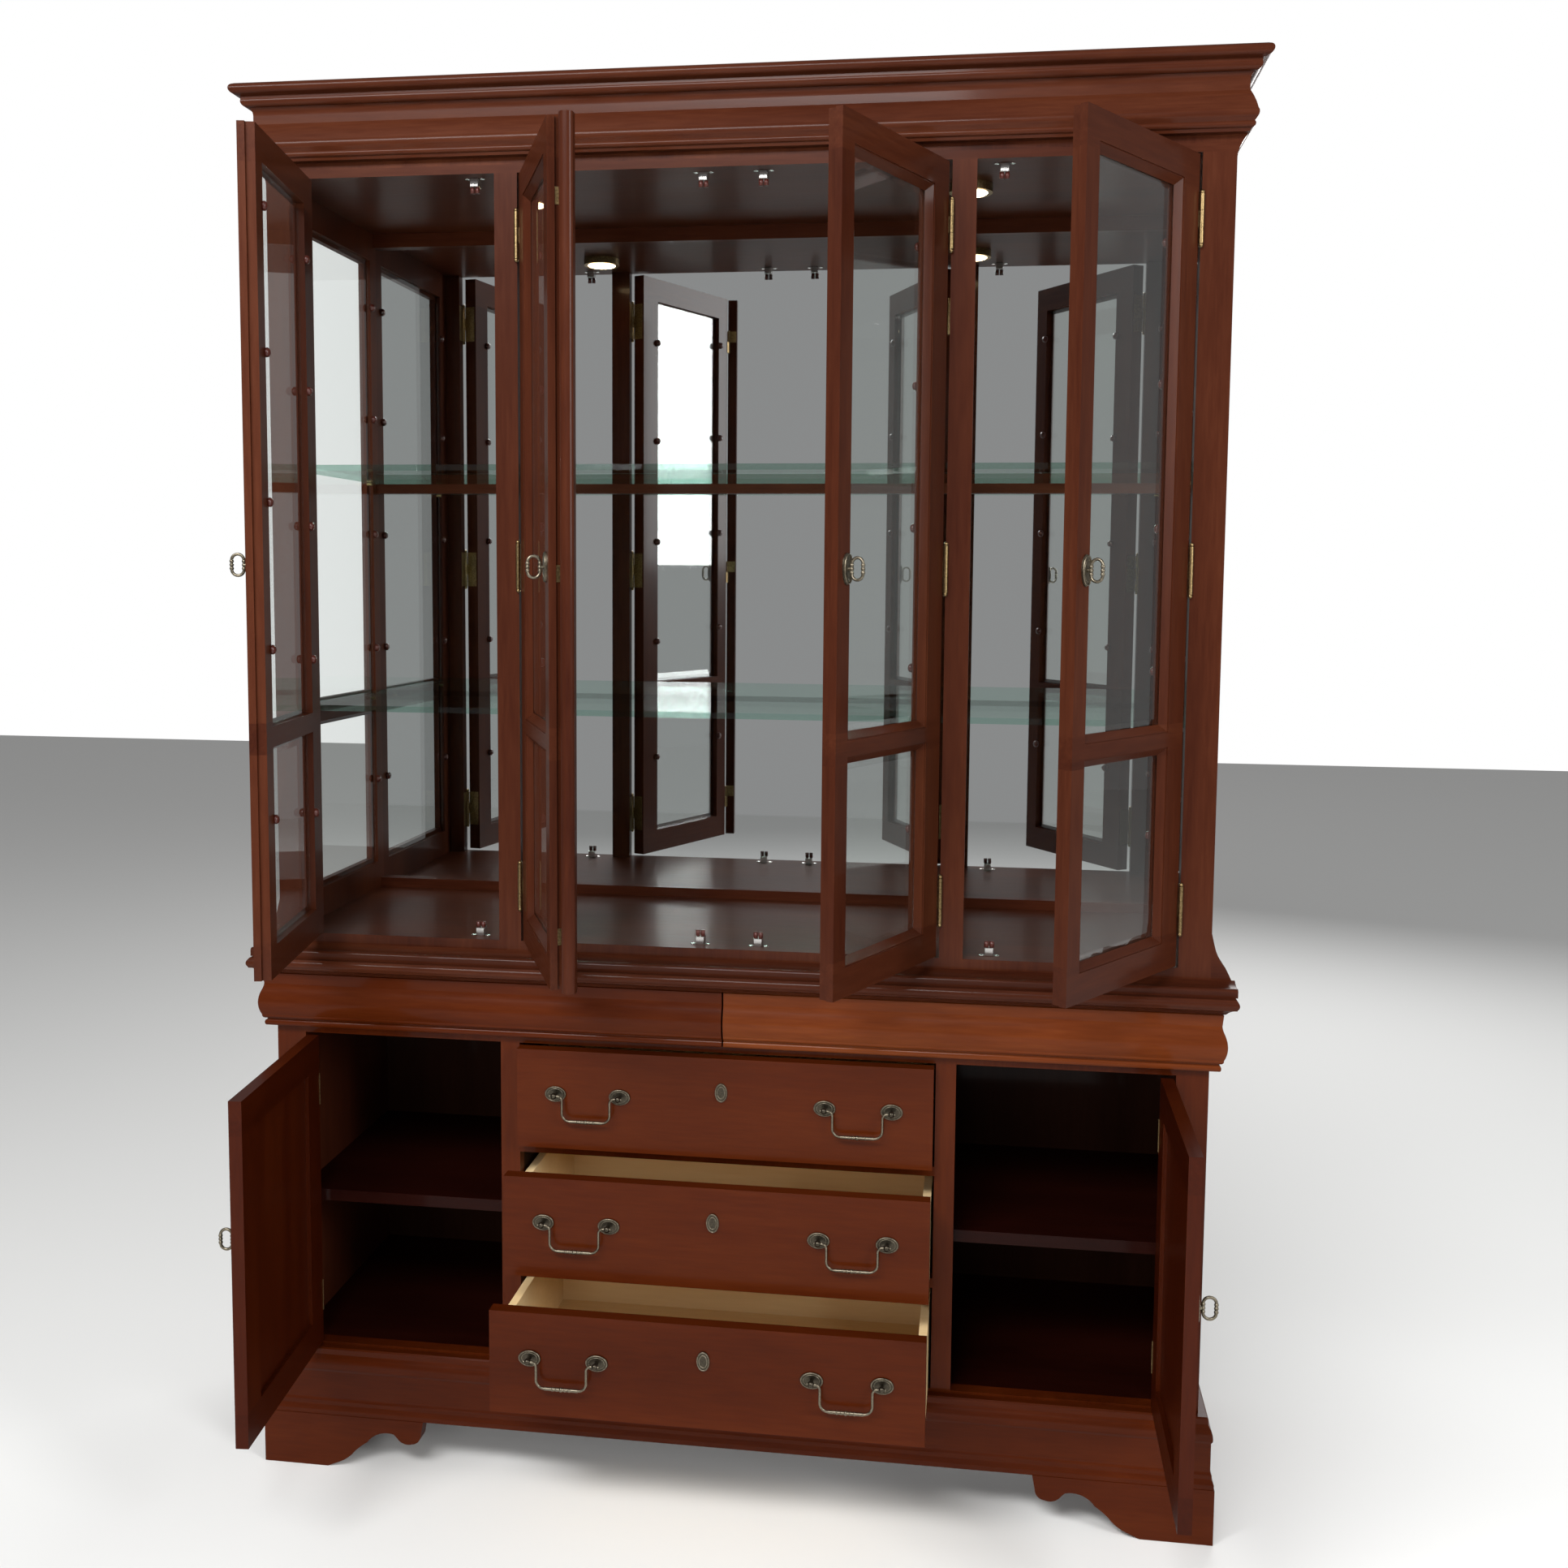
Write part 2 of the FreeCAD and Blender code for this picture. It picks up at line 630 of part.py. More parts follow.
def cupboard_shelves():
    level = S.opening_floor + S.cupboard_shelf_height
    front = FACE_BACK - S.cupboard_shelf_setback
    return [slab(f"cupboard_shelf_{name}",
                 mirrored(side, S.drawer_half + S.board, HALF - S.board),
                 (depth(front), depth(BUFFET_BACK)), (level, level + S.board))
            for side, name in ((-1, "left"), (1, "right"))]


def make_backs():
    inside = HALF - S.board
    pieces = [
        slab("buffet_back", (-inside, inside), (depth(BUFFET_BACK), BACK), (BASE_TOP, TOP_FLOOR)),
        slab("hutch_back", (-inside, inside), (depth(S.back_thickness), BACK), (HUTCH_FLOOR, CORNICE_FLOOR)),
    ]
    node("back_panels", group("backs", pieces))


# Waist: a moulding whose front is two drawers

def waist_profile():
    """Projection and height of the waist moulding, above the frieze floor."""
    start = (12, 1)
    path = [("line", (13, 1.5)), ("arc", (14.2, 5), (13, 9)), ("line", (11, 10)), ("line", (11, 12)),
            ("arc", (15, 13), (17, 18)), ("arc", (21.3, 38), (17, 56)), ("arc", (15, 61), (14, 66)),
            ("line", (15.5, 82)), ("line", (14, float(S.frieze_height) - 1))]
    return start, path


def waist_returns():
    """The fixed ends of the waist moulding, on the sides of the case."""
    start, path = waist_profile()
    pieces = []
    for side, name in ((-1, "left"), (1, "right")):
        begin, steps = mapped(start, path, lambda point: (side * point[0], point[1]))
        steps = steps + [("line", (0, path[-1][-1][1])), ("line", (0, start[1]))]
        run = profile_body(f"waist_return_{name}_run", "XZ_Plane", begin, steps,
                           S.buffet_depth + S.return_run, side * HALF, BACK, FRIEZE_FLOOR)
        pieces.append(mitre_cut(f"waist_return_{name}", run, side, keep_front=False))
    return pieces


def mitre_cut(name, run, side, keep_front):
    """Cut a waist moulding along the 45 degree plane through the corner of the case."""
    reach = float(S.mitre_reach)
    offset = float(S.mitre_gap) / 2 * (-1 if keep_front else 1)
    lean = -1 if keep_front else 1
    body = doc.addObject("PartDesign::Body", name + "_mitre")
    sketch = sketch_on(body, "XY_Plane", name + "_mitre_outline")
    corner = (side * -reach, reach + offset)
    far = (side * reach, -reach + offset)
    apex = (side * reach * lean * -1, reach * lean * -1 + offset)
    draw_outline(sketch, corner, [("line", far), ("line", apex)])
    pad(body, sketch, S.frieze_height * 2, middle=True)
    move(body, side * HALF, depth(S.buffet_depth), FRIEZE_FLOOR + S.frieze_height / 2)
    return cut(name, run, [body])


def make_buffet_top():
    thick = float(S.top_thickness)
    start = (17, 0)
    path = [("line", (19, 2)), ("arc", (24, 6.5), (30.5, 9)), ("line", (31.5, 11)),
            ("arc", (33.5, 16), (32, 21)), ("line", (29.5, thick))]
    node("buffet_top", returned_moulding("top_slab", start, path, S.buffet_depth, TOP_FLOOR))


# Case of the hutch

HUTCH_FACE_BACK = HUTCH_DEPTH - S.frame_thickness
MIRROR_FRONT = S.back_thickness + S.mirror_thickness


def make_hutch_base_moulding():
    spread = float(S.hutch_base_projection)
    front_path = [("line", (-spread, 9)), ("arc", (-spread + 3, 12), (-spread + 8, 11.5)),
                  ("arc", (-12, 12.5), (0, 17))]
    front = profile_body("hutch_base_front", "YZ_Plane", (-spread, 0), front_path + [("line", (0, 0))],
                         S.case_width + 2 * S.hutch_base_projection, 0, depth(HUTCH_DEPTH), HUTCH_FLOOR,
                         middle=True)
    pieces = [front]
    for side, name in ((-1, "left"), (1, "right")):
        start = (side * spread, 0)
        steps = [("line", (side * spread, 6)), ("arc", (side * 26, 22), (side * 20, 34)),
                 ("arc", (side * 10.5, 48), (side * 4, 66)), ("line", (0, 83)), ("line", (0, 0))]
        pieces.append(profile_body(f"hutch_base_{name}", "XZ_Plane", start, steps, HUTCH_DEPTH,
                                   side * HALF, BACK, HUTCH_FLOOR))
    node("hutch_base_moulding", group("hutch_base", pieces))


def make_hutch_boards():
    inside = HALF - S.board
    y = (depth(HUTCH_FACE_BACK), depth(S.back_thickness))
    pieces = [
        slab("hutch_floor_board", (-inside, inside), y, (SILL - S.board, SILL)),
        slab("hutch_ceiling_board", (-inside, inside), y, (CEILING, CEILING + S.head_rail)),
    ]
    strip = (depth(MIRROR_FRONT + S.strip_depth), depth(MIRROR_FRONT))
    upper = SILL + S.upper_shelf_height
    for name, low, high in (("lower_strip", SILL, SILL + S.strip_height),
                            ("shelf_rail", upper - S.strip_height, upper),
                            ("upper_strip", CEILING - S.head_strip_height, CEILING)):
        pieces.append(slab(name, (-inside, inside), strip, (low, high)))
    node("hutch_boards", group("boards", pieces))


def make_hutch_face_frame():
    y = (depth(HUTCH_DEPTH), depth(HUTCH_FACE_BACK))
    pieces = [
        slab("hutch_sill_rail", (-HALF, HALF), y, (HUTCH_FLOOR, SILL)),
        slab("hutch_head_rail", (-HALF, HALF), y, (CEILING, CORNICE_FLOOR)),
    ]
    for side, name in ((-1, "left"), (1, "right")):
        pieces.append(slab(f"hutch_corner_stile_{name}", mirrored(side, OPENING_HALF, HALF), y,
                           (SILL, CEILING)))
        pieces.append(slab(f"hutch_bay_stile_{name}", mirrored(side, S.centre_half, BAY_HALF), y,
                           (SILL, CEILING)))
    node("hutch_face_frame", fuse("hutch_frame", pieces))


def pane_levels(floor, height):
    """The two sight openings of a glazed frame, lower first."""
    rail = floor + S.mid_rail_height
    return ((floor + S.door_rail, rail), (rail + S.door_mid_rail, floor + height - S.door_rail))


def make_hutch_sides():
    frames = []
    panes = []
    sight_y = (depth(HUTCH_FACE_BACK - S.side_stile), depth(S.side_stile))
    for side, name in ((-1, "left"), (1, "right")):
        x = mirrored(side, HALF - S.board, HALF)
        frame = slab(f"side_frame_{name}_blank", x, (depth(HUTCH_FACE_BACK), BACK),
                     (HUTCH_FLOOR, CORNICE_FLOOR))
        holes = []
        glass_x = mirrored(side, HALF - S.board, HALF - S.rebate_depth)
        for level, (low, high) in enumerate(pane_levels(DOOR_FLOOR, DOOR_HEIGHT), start=1):
            tag = f"side_{name}_{level}"
            holes.append(slab(tag + "_sight", mirrored(side, HALF - 2 * S.board, HALF + S.board), sight_y,
                              (low, high)))
            holes.append(slab(tag + "_rebate", glass_x, (sight_y[0] - S.rebate, sight_y[1] + S.rebate),
                              (low - S.rebate, high + S.rebate)))
            glass = mirrored(side, HALF - S.rebate_depth - S.pane_thickness, HALF - S.rebate_depth)
            fit = S.rebate - S.glass_play
            panes.append(slab(tag + "_pane", glass, (sight_y[0] - fit, sight_y[1] + fit),
                              (low - fit, high + fit)))
        frames.append(cut(f"side_frame_{name}", frame, holes))
    node("hutch_side_frames", group("side_frames", frames))
    node("hutch_side_panes", group("side_panes", panes))


def make_cornice():
    """The crown wraps three sides; below it only the sides carry a cove."""
    rise = float(S.cornice_height)
    start = (0, 0)
    path = [("line", (13, 0)), ("line", (15, 4)), ("arc", (19.5, 7), (18.5, 12)), ("line", (21, 16)),
            ("arc", (23.5, 22), (22, 28)), ("arc", (18.5, 40), (12, 54)), ("line", (12, 66)),
            ("arc", (13, 72), (16, 77)), ("arc", (24, 80), (25, 87)), ("line", (25, 91)),
            ("line", (33, 93)), ("arc", (38, rise - 7.5), (33, rise - 1)), ("line", (31, rise))]
    crown = returned_moulding("crown", start, path, HUTCH_DEPTH, CORNICE_FLOOR)
    pieces = [crown]
    for side, name in ((-1, "left"), (1, "right")):
        begin = (side * 13, 0)
        steps = [("arc", (side * 4, -14), (0, -40)), ("line", (0, 0))]
        pieces.append(profile_body(f"cornice_cove_{name}", "XZ_Plane", begin, steps, HUTCH_DEPTH,
                                   side * HALF, BACK, CORNICE_FLOOR))
    node("cornice", group("cornice_parts", pieces))


def make_mirror():
    inside = HALF - S.board
    node("mirror", slab("mirror_plate", (-inside, inside), (depth(MIRROR_FRONT), depth(S.back_thickness)),
                        (SILL, CEILING)))


def make_glass_shelves():
    front = HUTCH_DEPTH - S.glass_shelf_setback
    inside = HALF - S.board - S.shelf_play
    pieces = []
    for name, level in (("lower", S.lower_shelf_height), ("upper", S.upper_shelf_height)):
        pieces.append(slab(f"glass_shelf_{name}", (-inside, inside),
                           (depth(front), depth(MIRROR_FRONT)),
                           (SILL + level, SILL + level + S.glass_shelf)))
    node("glass_shelves", group("glass", pieces))


def shelf_pins():
    """Brass pins under the glass shelves, and the small catches of the doors."""
    pieces = []
    inside = HALF - S.board
    for side, name in ((-1, "left"), (1, "right")):
        for shelf, level in (("lower", S.lower_shelf_height), ("upper", S.upper_shelf_height)):
            for place, back in (("back", S.pin_back), ("front", S.pin_front)):
                start = inside - S.pin_length if side > 0 else -inside
                pieces.append(rod(f"pin_{shelf}_{place}_{name}", S.shelf_pin, S.pin_length, start,
                                  depth(back), SILL + level - S.shelf_pin, along="x"))
        for door, x in (("outer", S.catch_outer), ("inner", S.catch_inner)):
            plane = HUTCH_DEPTH - S.door_thickness - S.catch_clearance
            y = (depth(plane), depth(plane - S.catch_length))
            half = S.catch_width / 2
            across = (side * x - half, side * x + half)
            pieces.append(slab(f"catch_low_{door}_{name}", across, y, (SILL, SILL + S.catch_width)))
            pieces.append(slab(f"catch_high_{door}_{name}", across, y, (CEILING - S.catch_width, CEILING)))
    return pieces


def make_lights():
    """Two puck lights under the hutch ceiling."""
    pieces = [rod(f"puck_{name}", S.light_radius, S.light_height, side * S.light_place,
                  depth(S.light_depth), CEILING - S.light_height)
              for side, name in ((-1, "left"), (1, "right"))]
    node("ceiling_lights", group("pucks", pieces))


# Hinges. The axis stands in front of the face, at the edge of the opening. Local +X runs from the
# axis along the closed door (times hand), local +Y runs back into the case.

def handed(hand, low, high):
    low = Size.of(low)
    high = Size.of(high)
    return (low, high) if hand > 0 else (-high, -low)


FINIAL_LIFT = 0.7  # middle of a ball tip beyond its barrel, in ball radii


def knuckle_spans(length):
    third = length / 3
    gap = S.knuckle_gap
    return ((-length / 2, -third / 2 - gap), (-third / 2, third / 2), (third / 2 + gap, length / 2))


def case_hinge(name, hand, x, y, z, length):
    """The fixed half: a leaf on the edge of the opening, two barrels, the pin and its tips."""
    plate = slab(name + "_plate", handed(hand, 0, S.leaf), (AXIS_OUT, AXIS_OUT + S.leaf_depth),
                 (-length / 2, length / 2))
    pieces = [plate]
    spans = knuckle_spans(length)
    for index in (0, 2):
        low, high = spans[index]
        pieces.append(rod(f"{name}_barrel_{index}", S.knuckle_radius, high - low, 0, 0, low))
        pieces.append(slab(f"{name}_neck_{index}", handed(hand, 0, S.leaf), (0, AXIS_OUT), (low, high)))
    pieces.append(rod(name + "_pin", S.pin_radius, length, 0, 0, -length / 2))
    lift = S.finial * FINIAL_LIFT
    for index, end in enumerate((-length / 2 - lift, length / 2 + lift)):
        pieces.append(ball(f"{name}_tip_{index}", S.finial, 0, 0, end))
    return move(fuse(name, pieces), x, y, z)


def door_hinge(name, hand, z, length):
    """The moving half: a leaf on the door edge and one bored barrel."""
    plate = slab(name + "_plate", handed(hand, HALF_GAP - S.leaf, HALF_GAP),
                 (AXIS_OUT, AXIS_OUT + S.leaf_depth), (-length / 2, length / 2))
    low, high = knuckle_spans(length)[1]
    barrel = rod(name + "_barrel", S.knuckle_radius, high - low, 0, 0, low)
    neck = slab(name + "_neck", handed(hand, HALF_GAP - S.leaf, HALF_GAP), (0, AXIS_OUT), (low, high))
    bore = rod(name + "_bore", S.pin_radius + S.pin_fit, length * 2, 0, 0, -length)
    solid = cut(name, fuse(name + "_solid", [plate, barrel, neck]), [bore])
    return move(solid, 0, 0, z)


class Door:
    """Where a door hangs, how wide it is and how far it stands open."""

    def __init__(self, name, hand, hinge_x, face_depth, floor, width, height, thickness, angle):
        self.name = name
        self.hand = hand
        self.hinge_x = hinge_x
        self.axis_y = depth(face_depth + AXIS_OUT)
        self.floor = floor
        self.width = width
        self.height = height
        self.thickness = thickness
        self.angle = angle
        self.free_edge = HALF_GAP + width

    def span(self, low, high):
        return handed(self.hand, low, high)

    def hang(self, obj):
        """Put a piece built in door coordinates where the door stands."""
        turn = self.angle * (-self.hand)
        return move(obj, self.hinge_x, self.axis_y, self.floor, Vector(0, 0, 1), turn)

    def hinge_levels(self, low, high, count):
        step = (self.height - low - high) / (count - 1)
        return [low + step * index for index in range(count)]


HUTCH_DOORS = [
    Door("hutch_door_left", 1, -OPENING_HALF, HUTCH_DEPTH, DOOR_FLOOR, SIDE_DOOR_WIDTH, DOOR_HEIGHT,
         S.door_thickness, S.angle_left),
    Door("hutch_door_centre_left", 1, -S.centre_half, HUTCH_DEPTH, DOOR_FLOOR, MIDDLE_DOOR_WIDTH,
         DOOR_HEIGHT, S.door_thickness, S.angle_centre_left),
    Door("hutch_door_centre_right", -1, S.centre_half, HUTCH_DEPTH, DOOR_FLOOR, MIDDLE_DOOR_WIDTH,
         DOOR_HEIGHT, S.door_thickness, S.angle_centre_right),
    Door("hutch_door_right", -1, OPENING_HALF, HUTCH_DEPTH, DOOR_FLOOR, SIDE_DOOR_WIDTH, DOOR_HEIGHT,
         S.door_thickness, S.angle_right),
]

CUPBOARD_DOORS = [
    Door("cupboard_door_left", 1, -OPENING_HALF, S.buffet_depth, CUPBOARD_FLOOR, CUPBOARD_DOOR_WIDTH,
         CUPBOARD_DOOR_HEIGHT, S.cupboard_door_thickness, S.angle_cupboard_left),
    Door("cupboard_door_right", -1, OPENING_HALF, S.buffet_depth, CUPBOARD_FLOOR, CUPBOARD_DOOR_WIDTH,
         CUPBOARD_DOOR_HEIGHT, S.cupboard_door_thickness, S.angle_cupboard_right),
]


def make_case_hardware():
    pieces = shelf_pins()
    for door in HUTCH_DOORS:
        for index, level in enumerate(door.hinge_levels(S.hinge_low, S.hinge_high, 3)):
            pieces.append(case_hinge(f"{door.name}_case_hinge_{index}", door.hand, door.hinge_x,
                                     door.axis_y, door.floor + level, S.hutch_hinge))
    for door in CUPBOARD_DOORS:
        for index, level in enumerate(door.hinge_levels(S.cupboard_hinge_low, S.cupboard_hinge_high, 2)):
            pieces.append(case_hinge(f"{door.name}_case_hinge_{index}", door.hand, door.hinge_x,
                                     door.axis_y, door.floor + level, S.cupboard_hinge))
    node("case_hardware", group("case_hardware_set", pieces))


def make_hutch_door(door):
    face = AXIS_OUT
    inner = face + door.thickness
    blank = slab(door.name + "_blank", door.span(HALF_GAP, door.free_edge), (face, inner),
                 (Size.of(0), door.height))
    sight = (HALF_GAP + S.hinge_stile, door.free_edge - S.meeting_stile)
    tools = []
    panes = []
    for level, (low, high) in enumerate(pane_levels(Size.of(0), door.height), start=1):
        tag = f"{door.name}_{level}"
        grow = S.sticking
        tools.append(slab(tag + "_quirk", door.span(sight[0] - grow, sight[1] + grow),
                          (face - OVERSHOOT, face + S.quirk), (low - grow, high + grow)))
        tools.append(frustum(tag + "_sticking",
                             door.span(sight[0] - grow + S.quirk, sight[1] + grow - S.quirk),
                             (face + S.quirk, face + S.rebate_depth),
                             (low - grow + S.quirk, high + grow - S.quirk), 0, grow - S.quirk))
        tools.append(slab(tag + "_sight", door.span(sight[0], sight[1]), (face, inner + OVERSHOOT),
                          (low, high)))
        tools.append(slab(tag + "_rebate", door.span(sight[0] - S.rebate, sight[1] + S.rebate),
                          (face + S.rebate_depth, inner + OVERSHOOT), (low - S.rebate, high + S.rebate)))
        fit = S.rebate - S.glass_play
        x = door.span(sight[0] - fit, sight[1] + fit)
        z = (low - fit, high + fit)
        glass = face + S.rebate_depth
        half = S.pane_thickness / 2
        panes.append(fuse(tag + "_pane", [
            frustum(tag + "_pane_front", x, (glass, glass + half), z, S.pane_bevel, 0),
            slab(tag + "_pane_back", x, (glass + half, glass + S.pane_thickness), z)]))
    tools.append(slab(door.name + "_step",
                      door.span(door.free_edge - S.edge_step, door.free_edge + OVERSHOOT),
                      (face + S.edge_lip, inner + OVERSHOOT), (Size.of(-OVERSHOOT), door.height + OVERSHOOT)))
    node(door.name + "_frame", door.hang(cut(door.name + "_wood", blank, tools)))
    node(door.name + "_panes", door.hang(group(door.name + "_glass", panes)))


BOSS_WIDE = 0.55  # inner oval of a door plate, as a share of the plate
BOSS_TALL = 0.6
BOSS_THICK = 1.6
STEM_SWELL = 1.25  # stem of a pull over its wire
BEAD_STEP = 1.7  # between two beads of a pull, in bead radii


def half_hoop(name, x, y, z, start):
    """Half a ring of wire that stands in the YZ plane, from a start angle."""
    hoop = doc.addObject("Part::Torus", name)
    hoop.Angle3 = 180
    bind(hoop, Radius1=S.bow_radius, Radius2=S.bow_wire)
    stand = Rotation(Vector(0, 1, 0), -90) * Rotation(Vector(0, 0, 1), start)
    hoop.Placement = Placement(Vector(0, 0, 0), stand)
    for axis, size in (("x", x), ("y", y), ("z", z)):
        hoop.setExpression(f"Placement.Base.{axis}", Size.of(size).text)
    return hoop


def make_pull(door, place, level):
    """A pull like the bow of a key: an oval plate, a stem, and an upright beaded loop on it."""
    name = door.name + "_pull"
    x = place * door.hand
    face = AXIS_OUT
    plate = disc(name + "_plate", S.plate_half_width, S.plate_half_height, S.plate_thickness, x, face, level)
    boss = disc(name + "_boss", S.plate_half_width * BOSS_WIDE, S.plate_half_height * BOSS_TALL,
                S.plate_thickness * BOSS_THICK, x, face, level)
    stem = rod(name + "_stem", S.bow_wire * STEM_SWELL, S.plate_thickness + S.bow_stem, x, face, level,
               along="-y")
    middle = face - S.plate_thickness - S.bow_stem - S.bow_radius
    pieces = [plate, boss, stem]
    for index, (sign, start) in enumerate(((1, -90), (-1, 90))):
        pieces.append(half_hoop(f"{name}_hoop_{index}", x, middle, level + sign * S.bow_straight / 2, start))
        side = middle + sign * S.bow_radius
        pieces.append(rod(f"{name}_side_{index}", S.bow_wire, S.bow_straight, x, side,
                          level - S.bow_straight / 2))
        for bead in (-1, 0, 1):
            pieces.append(ball(f"{name}_bead_{index}_{bead + 1}", S.bow_bead, x, side,
                               level + bead * S.bow_bead * BEAD_STEP))
    node(name, door.hang(fuse(name + "_whole", pieces)))


def make_hutch_fittings(door):
    pieces = [door_hinge(f"{door.name}_hinge_{index}", door.hand, level, S.hutch_hinge)
              for index, level in enumerate(door.hinge_levels(S.hinge_low, S.hinge_high, 3))]
    if door.name == "hutch_door_centre_left":
        pieces = pieces + centre_hinges_on_door(door)
    node(door.name + "_fittings", door.hang(group(door.name + "_metal", pieces)))
    make_pull(door, door.free_edge - S.pull_inset, S.pull_height)


# The centre stile hangs on the free edge of the centre left door.

def centre_axis(door):
    return door.free_edge + S.centre_axis_side, AXIS_OUT + S.centre_axis_back


def centre_hinges_on_door(door):
    """Lower halves of the centre stile hinges, with their pins."""
    axis_x, axis_y = centre_axis(door)
    edge = door.free_edge - S.edge_step
    half = S.centre_hinge / 2
    pieces = []
    for index, level in enumerate(door.hinge_levels(S.hinge_low, S.hinge_high, 3)):
        tag = f"centre_hinge_{index}"
        span = (level - half, level - S.knuckle_gap / 2)
        barrel = rod(tag + "_barrel", S.centre_knuckle, span[1] - span[0], axis_x, axis_y, span[0])
        plate = slab(tag + "_plate", (edge, edge + S.centre_plate),
                     (AXIS_OUT + S.edge_lip, axis_y + S.centre_knuckle), span)
        arm = slab(tag + "_arm", (edge, axis_x), (axis_y + S.centre_knuckle - S.centre_plate,
                                                  axis_y + S.centre_knuckle), span)
        pin = rod(tag + "_pin", S.centre_pin, S.centre_hinge, axis_x, axis_y, level - half)
        pieces.append(fuse(tag, [barrel, plate, arm, pin]))
    return pieces


def make_centre_stile(door):
    """The stile and its own leaves, built round their axis, facing as when all is closed."""
    axis_x, axis_y = centre_axis(door)
    near = -S.centre_axis_side + S.door_gap
    front = -S.centre_axis_back
    back = front + S.centre_stile_thickness
    wide = S.centre_stile_width
    round_start = float(front + S.centre_round)
    outline = [("line", (float(near + wide), float(back))), ("line", (float(near + wide), round_start)),
               ("arc", (float(near + wide / 2), float(front)), (float(near), round_start))]
    post = profile_body("centre_post", "XY_Plane", (float(near), float(back)), outline, door.height)
    half = S.centre_hinge / 2
    leaves = []
    for index, level in enumerate(door.hinge_levels(S.hinge_low, S.hinge_high, 3)):
        tag = f"centre_leaf_{index}"
        span = (level + S.knuckle_gap / 2, level + half)
        barrel = rod(tag + "_barrel", S.centre_knuckle, span[1] - span[0], 0, 0, span[0])
        plate = slab(tag + "_plate", (Size.of(0), near + wide - S.stile_plate_inset),
                     (back, back + S.stile_plate), span)
        bore = rod(tag + "_bore", S.centre_pin + S.pin_fit, S.centre_hinge, 0, 0, level - half)
        leaves.append(cut(tag, fuse(tag + "_solid", [barrel, plate]), [bore]))
    turn = door.angle * -1
    x = door.hinge_x + axis_x * turn.cos() - axis_y * turn.sin()
    y = door.axis_y + axis_x * turn.sin() + axis_y * turn.cos()
    angle = turn + S.angle_centre_stile
    node("centre_stile", move(group("centre_stile_wood", [post]), x, y, door.floor, Vector(0, 0, 1), angle))
    leaf_set = group("centre_stile_metal", leaves)
    node("centre_stile_leaves", move(leaf_set, x, y, door.floor, Vector(0, 0, 1), angle))


# Cupboard doors

def make_cupboard_door(door):
    face = AXIS_OUT
    inner = face + door.thickness
    blank = slab(door.name + "_blank", door.span(HALF_GAP, door.free_edge), (face, inner),
                 (Size.of(0), door.height))
    x = (HALF_GAP + S.cupboard_stile, door.free_edge - S.cupboard_stile)
    z = (S.cupboard_stile, door.height - S.cupboard_stile)
    bevel = S.panel_recess / 2
    front = frustum(door.name + "_recess", door.span(x[0] - bevel, x[1] + bevel),
                    (face - GRAZE, face + S.panel_recess), (z[0] - bevel, z[1] + bevel), 0, bevel)
    rear = slab(door.name + "_rear", door.span(x[0], x[1]),
                (face + S.panel_recess + S.panel_thickness, inner + OVERSHOOT), z)
    node(door.name + "_wood", door.hang(cut(door.name + "_panelled", blank, [front, rear])))


def make_cupboard_fittings(door):
    pieces = [door_hinge(f"{door.name}_hinge_{index}", door.hand, level, S.cupboard_hinge)
              for index, level in enumerate(door.hinge_levels(S.cupboard_hinge_low,
                                                              S.cupboard_hinge_high, 2))]
    node(door.name + "_fittings", door.hang(group(door.name + "_metal", pieces)))
    make_pull(door, door.free_edge - S.cupboard_stile / 2, S.cupboard_pull_height)


# Drawers

def post(name, x, face, z):
    """A pull post: an oval rosette, a stem and a bored knob."""
    tip = face - S.post_reach
    rosette = disc(name + "_rosette", S.rosette_half_width, S.rosette_half_height, S.plate_thickness,
                   x, face, z)
    stem = rod(name + "_stem", S.post_stem, S.post_reach, x, face, z, along="-y")
    knob = ball(name + "_knob", S.post_knob, x, tip, z)
    bore = rod(name + "_bore", S.bail_wire + S.pin_fit, S.post_knob * 4, x - S.post_knob * 2, tip, z,
               along="x")
    return cut(name, fuse(name + "_solid", [rosette, stem, knob]), [bore])


SMALL_BEAD = 0.85  # outer beads of a grip, as a share of the middle one


def bail_path(reach, half, drop):
    """One bent wire in the XZ plane, from the tip of one pin to the tip of the other. The bends are
    quarter circles."""
    small = float(S.neck_bend)
    large = float(S.bail_bend)
    on_arc = math.sqrt(0.5)
    down = [("line", (-half - small, 0)),
            ("arc", (-half - small + small * on_arc, -small + small * on_arc), (-half, -small)),
            ("line", (-half, -drop + large)),
            ("arc", (-half + large - large * on_arc, -drop + large - large * on_arc), (-half + large, -drop)),
            ("line", (half - large, -drop))]
    _, up = reversed_path((-reach, 0), down[:-1])
    return (-reach, 0), down + [tuple([step[0]] + [(-px, pz) for px, pz in step[1:]]) for step in up]


def bail_wire(name, reach, half):
    """The wire swept along its path, drawn about the middle of its pins."""
    spine = doc.addObject("Sketcher::SketchObject", name + "_line")
    start, path = bail_path(float(reach), float(half), float(S.bail_drop))
    draw_path(spine, start, path)
    spine.Placement = Placement(Vector(0, 0, 0), Rotation(Vector(1, 0, 0), 90))
    section = doc.addObject("Part::Circle", name + "_section")
    bind(section, Radius=S.bail_wire)
    move(section, -reach, 0, 0, Vector(0, 1, 0), 90)
    wire = doc.addObject("Part::Sweep", name)
    wire.Sections = [section]
    wire.Spine = (spine, [])
    wire.Solid = True
    wire.Frenet = True
    return wire


